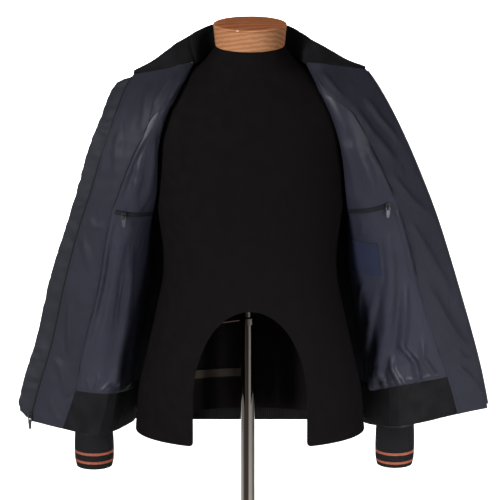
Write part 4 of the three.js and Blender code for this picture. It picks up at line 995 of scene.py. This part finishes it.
def build_pocket_zip(side):
    columns, rows = POCKET_ZIPS[side]["columns"], POCKET_ZIPS[side]["rows"]
    us = np.linspace(*columns, 33)
    vs = np.interp(us, columns, rows)
    shares = np.linspace(-1, 1, 9)
    outer, inner = np.zeros((2, len(us), len(shares), 3))
    for j, share in enumerate(shares):
        points, normals = lining_frame(side, us, vs + share * POCKET_HALF)
        lip = 0.9 + 0.6 * math.exp(-(((abs(share) - 0.55) / 0.22) ** 2)) - 0.5 * (abs(share) < 0.25)
        outer[:, j] = points - normals * (0.3 + lip)
        inner[:, j] = points - normals * 0.15
    name = f"pocket_zip_{SIDE_NAME[side]}"
    closed_wall(f"{name}_strip", outer, inner, zip_cloth, [name])
    at = resampled(us, lining_frame(side, us, vs)[0], POCKET_TEETH["pitch"])
    centres, normals = lining_frame(side, at, np.interp(at, columns, rows))
    along = unit(np.gradient(centres, axis=0))
    axes = np.stack([along, np.cross(normals, along), normals], 1)
    centres = centres - normals * POCKET_TEETH["lift"]
    boxes(f"{name}_teeth", centres, axes, POCKET_TEETH["half"], teeth_plastic)


def stitches(line, normals):
    """Centres and axes of the stitches along a line of points on cloth."""
    place = distance_along(line)
    middles = np.arange(STITCH["pitch"] / 2, place[-1], STITCH["pitch"])

    def at(values):
        return np.stack([np.interp(middles, place, values[:, k]) for k in range(3)], 1)

    along = unit(at(np.gradient(line, place, axis=0)))
    across = unit(np.cross(at(normals), along))
    return at(line), np.stack([along, across, np.cross(along, across)], 1)


def sew(name, grid, lines, viewer):
    """Stitches along fractional columns or rows of a grid of points; viewer is a direction they face."""
    normal = unit(np.cross(np.gradient(grid, axis=0), np.gradient(grid, axis=1)))
    if float((normal * viewer).sum()) < 0:
        normal = -normal
    runs = []
    for way, place in lines:
        order = (0, 1, 2) if way == "column" else (1, 0, 2)
        swap, turned = grid.transpose(order), normal.transpose(order)
        at = np.array(place * (len(swap) - 1))
        lift = turned[min(int(at), len(swap) - 2)] * STITCH["lift"]
        runs.append(stitches(at_places(swap, at) + lift, at_places(turned, at)))
    centres, axes = [np.concatenate(values) for values in zip(*runs)]
    boxes(name, centres, axes, STITCH["half"], thread)


def build_label():
    us = np.linspace(*LABEL["columns"], 22)
    vs = np.linspace(*LABEL["rows"], 20)
    depth = lining_far(1, us, vs) - LABEL["lift"]
    near, far = [FRONTS[1].offset(us, vs, depth - wall) for wall in (0, LABEL["wall"])]
    cloth_piece("label", near, far, label_cloth)
    edges = [("column", 0.04), ("column", 0.96), ("row", 0.05), ("row", 0.95)]
    sew("label_stitches", far, edges, TO_FRONT)


def form_sections(heights):
    table = np.array(FORM_SECTIONS, float)
    k = np.interp(heights, table[:, 0], np.arange(len(table)))
    return curve_at(table[:, None, :], k)[:, 0]


def ring_of(section, power=FORM_POWER):
    """A ring of points round a section's height and half widths."""
    angle = 2 * np.pi * np.arange(FORM_SIDES) / FORM_SIDES
    c, s = np.cos(angle), np.sin(angle)
    x = section[1] * np.sign(c) * np.abs(c) ** (2 / power)
    y = section[2] * np.sign(s) * np.abs(s) ** (2 / power)
    return np.stack([x, y, np.full(FORM_SIDES, section[0])], 1)


def arc(x, z, across, up, first, last, count):
    """Points of an arc about (x, z), from one angle in degrees to another."""
    turn = np.radians(np.linspace(first, last, count))
    return [(x + across * math.cos(a), z + up * math.sin(a)) for a in turn]


def arch_cutter():
    """A block in the shape of the front arch, rounded where it meets the form's lower edge."""
    corner, half = ARCH["corner"], ARCH["half"]
    side, low, below = half + corner, FORM_LOW + corner, FORM_LOW - ARCH["below"]
    outline = [(-side, below), (side, below), (side, FORM_LOW)]
    outline += arc(side, low, corner, corner, 270, 180, 8)
    outline += arc(0, ARCH["spring"], half, ARCH["rise"], 0, 180, 72)
    outline += arc(-side, low, corner, corner, 0, -90, 8)
    count = len(outline)
    points = np.array([(x, y, z) for y in ARCH["depth"] for x, z in outline])
    faces = [(n, (n + 1) % count, count + (n + 1) % count, count + n) for n in range(count)]
    faces += [tuple(range(count))[::-1], tuple(range(count, 2 * count))]
    return mesh_object("arch_cutter", points + DRESSED_SHIFT, faces)


def fix_normals(one):
    made = bmesh.new()
    made.from_mesh(one.data)
    bmesh.ops.recalc_face_normals(made, faces=made.faces)
    made.to_mesh(one.data)
    made.free()


def build_form():
    outer = [ring_of(section) for section in form_sections(stations((FORM_LOW, 1000, 1110, 1210), 9))]
    inside = form_sections(stations((FORM_LOW, FORM_HOLLOW_TOP), 16)[::-1])
    hollow = [ring_of(section - np.array([0, FORM_WALL, FORM_WALL])) for section in inside]
    bore_rows = (FORM_BORE["top"], FORM_HOLLOW_TOP)
    bore = [ring_of((up, *FORM_BORE["halves"]), 2) - DRESSED_SHIFT for up in bore_rows]
    rings = bore + hollow + outer
    count, total = FORM_SIDES, FORM_SIDES * len(rings)
    r, i = np.meshgrid(np.arange(len(rings) - 1), np.arange(count), indexing="ij")
    after = (i + 1) % count
    faces = np.stack([r * count + i, r * count + after, (r + 1) * count + after, (r + 1) * count + i], -1)
    faces = faces.reshape(-1, 4).tolist() + [list(range(count))[::-1], list(range(total - count, total))]
    form = mesh_object("form_shell", np.concatenate(rings) + DRESSED_SHIFT, faces)
    cutter = arch_cutter()
    for one in (form, cutter):
        fix_normals(one)
    cut = form.modifiers.new("arch", "BOOLEAN")
    cut.operation = "DIFFERENCE"
    cut.object = cutter
    cut.solver = "EXACT"
    result = bpy.data.meshes.new_from_object(form.evaluated_get(bpy.context.evaluated_depsgraph_get()))
    form.modifiers.clear()
    form.data = result
    bpy.data.objects.remove(cutter)
    finished(form, form_cloth, ["torso_form"], sharp=40)


def build_tape():
    heights = np.linspace(TAPE["up"] - TAPE["half"], TAPE["up"] + TAPE["half"], 5)
    x = np.linspace(TAPE["from"], TAPE["to"], 40)[:, None]
    half_x, half_y = form_sections(heights).T[1:] - FORM_WALL
    ratio = np.clip(np.abs(x) / half_x[None, :], 0, 1)
    y = half_y * (1 - ratio**FORM_POWER) ** (1 / FORM_POWER)
    far = np.stack(np.broadcast_arrays(x, y - 0.3, heights[None, :]), -1)
    closed_wall("form_tape", far - np.array([0, 0.8, 0]), far, tan_board)


def lathe(name, profile, finish, nodes, body, sides=72, x=0.0):
    """A turned piece from (radius, height) points, each ring welded where the radius is 0."""
    angle = 2 * np.pi * np.arange(sides) / sides
    points, rings, faces = [], [], []
    for radius, up in profile:
        if radius == 0:
            rings.append([len(points)] * sides)
            points.append((x, 0, up))
        else:
            rings.append(list(range(len(points), len(points) + sides)))
            points += [(x + radius * math.cos(a), radius * math.sin(a), up) for a in angle]
    for low, high in zip(rings, rings[1:]):
        for n in range(sides):
            m = (n + 1) % sides
            faces.append(list(dict.fromkeys((low[n], low[m], high[m], high[n]))))
    piece = mesh_object(name, points, faces)
    fix_normals(piece)
    finished(piece, finish, nodes, body, 35)


def build_stand():
    low, high = CAP["low"], CAP["low"] + CAP["height"]
    bottom, top = CAP["bottom"], CAP["top"]
    lathe("wooden_cap", [
        (0, low), (bottom - 2, low), (bottom - 0.6, low + 0.6), (bottom, low + 2),
        (top - 0.8, high - 6), (top, high - 4.6), (top - 1.2, high - 4), (top - 1.2, high - 3.4),
        (top - 0.4, high - 2.8), (top - 0.6, high - 1.2), (top - 2.4, high - 0.1), (top - 6, high + 0.3),
        (top / 2, high + 0.9), (0, high + 1),
    ], cap_wood, ["neck_cap"], BODY, 96, DRESSED_OFFSET)
    lathe("rod", [
        (0, ROD["low"]), (ROD["radius"] - 1, ROD["low"]), (ROD["radius"], ROD["low"] + 1),
        (ROD["radius"], ROD["high"]), (0, ROD["high"]),
    ], chrome, ["inner_rod"], "rod")
    lathe("tube", [
        (TUBE["inner"], TUBE["low"]), (TUBE["outer"], TUBE["low"]), (TUBE["outer"], TUBE["top"] - 0.6),
        (TUBE["outer"] - 0.6, TUBE["top"]), (TUBE["inner"], TUBE["top"]), (TUBE["inner"], TUBE["low"]),
    ], chrome, ["outer_tube"], "stand")
    rim, hub = BASE["rim"], BASE["hub"]
    lathe("floor_base", [
        (0, 0), (BASE["radius"] - 3, 0), (BASE["radius"] - 0.9, 0.9), (BASE["radius"], 3),
        (BASE["radius"], rim), (BASE["radius"] - 2, rim + 2), (BASE["radius"] - 8, rim + 3),
        (hub + 16, rim + 8), (hub + 5, rim + 9.5), (hub + 1, rim + 12), (hub, rim + 15),
        (hub, BASE["hub_top"] - 1.5), (hub - 1.5, BASE["hub_top"]), (BASE["socket"], BASE["hub_top"]),
        (BASE["socket"], BASE["plate"]), (0, BASE["plate"]),
    ], base_paint, ["base"], "stand", 128)


for side in (-1, 1):
    build_front(side)
build_back()
for side in (-1, 1):
    build_facing(side)
    build_lining(side)
    build_sleeve(side)
    build_cuff(side)
    build_zip(side)
    build_pocket_zip(side)
build_hem()
build_collar()
build_flap()
build_label()
build_form()
build_tape()
build_stand()

# Nodes that keep their own shape
# The clamp's chrome carries the same painted reflections as the pole.
for name in ["clamp"] + [f"{a_zip}_{kind}" for a_zip in ZIPS for kind in ("slider", "pull")]:
    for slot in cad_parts[name].material_slots:
        slot.material = chrome if name == "clamp" else dark_metal

# Floor, light and camera
corners = [(x * FLOOR_HALF, y * FLOOR_HALF, 0) for x, y in ((-1, -1), (1, -1), (1, 1), (-1, 1))]
floor = mesh_object("floor", corners, [(0, 1, 2, 3)])
floor.data.materials.append(material("floor", FLOOR_COLOR, 1.0, specular=0.0))

world = bpy.data.worlds.new("studio")
bpy.context.scene.world = world
world.use_nodes = True
world.node_tree.nodes["Background"].inputs["Color"].default_value = (1, 1, 1, 1)
world.node_tree.nodes["Background"].inputs["Strength"].default_value = WORLD_STRENGTH


# Soft boxes: place, target and size in metres, power in watts and spread in degrees
for name, place, target, size, power, spread in (
    ("left soft box", (-2.3, -2.8, 1.75), (0, 0, 0.75), (0.6, 1.3), 31, 60),
    ("right soft box", (2.3, -2.2, 1.7), (0, 0, 0.85), (0.6, 1.4), 4.5, 60),
    ("top soft box", (0, -0.9, 3.2), (0, 0, 0.9), (1.6, 0.9), 3, 80),
    ("back soft box", (2.1, 3.2, 1.7), (0, 0, 0.85), (0.8, 1.4), 12, 50),
    ("low soft box", (1.9, -2.4, 0.45), (0.34, 0, 0.50), (0.6, 0.8), 4.0, 26),
    ("background light", (0, 5.0, 4.6), (0, 5.0, 0), (5.0, 6.4), 370, 60),
):
    data = bpy.data.lights.new(name, "AREA")
    data.shape = "RECTANGLE"
    data.size, data.size_y = size
    data.energy = power
    data.spread = math.radians(spread)
    lamp = bpy.data.objects.new(name, data)
    bpy.context.scene.collection.objects.link(lamp)
    lamp.location = place
    lamp.rotation_euler = (Vector(target) - Vector(place)).to_track_quat("-Z", "Y").to_euler()

camera_data = bpy.data.cameras.new("camera")
camera = bpy.data.objects.new("camera", camera_data)
bpy.context.scene.collection.objects.link(camera)
elevation = math.radians(CAMERA["elevation"])
away = Vector((0, -math.cos(elevation), math.sin(elevation))) * CAMERA["distance"]
camera.location = Vector(CAMERA["target"]) + away
camera.rotation_euler = (math.pi / 2 - elevation, 0, 0)
camera_data.sensor_width = SENSOR_MM
camera_data.lens = CAMERA["focal_px"] * SENSOR_MM / FRAME_PX
bpy.context.scene.camera = camera
bpy.context.scene.view_settings.view_transform = "Standard"
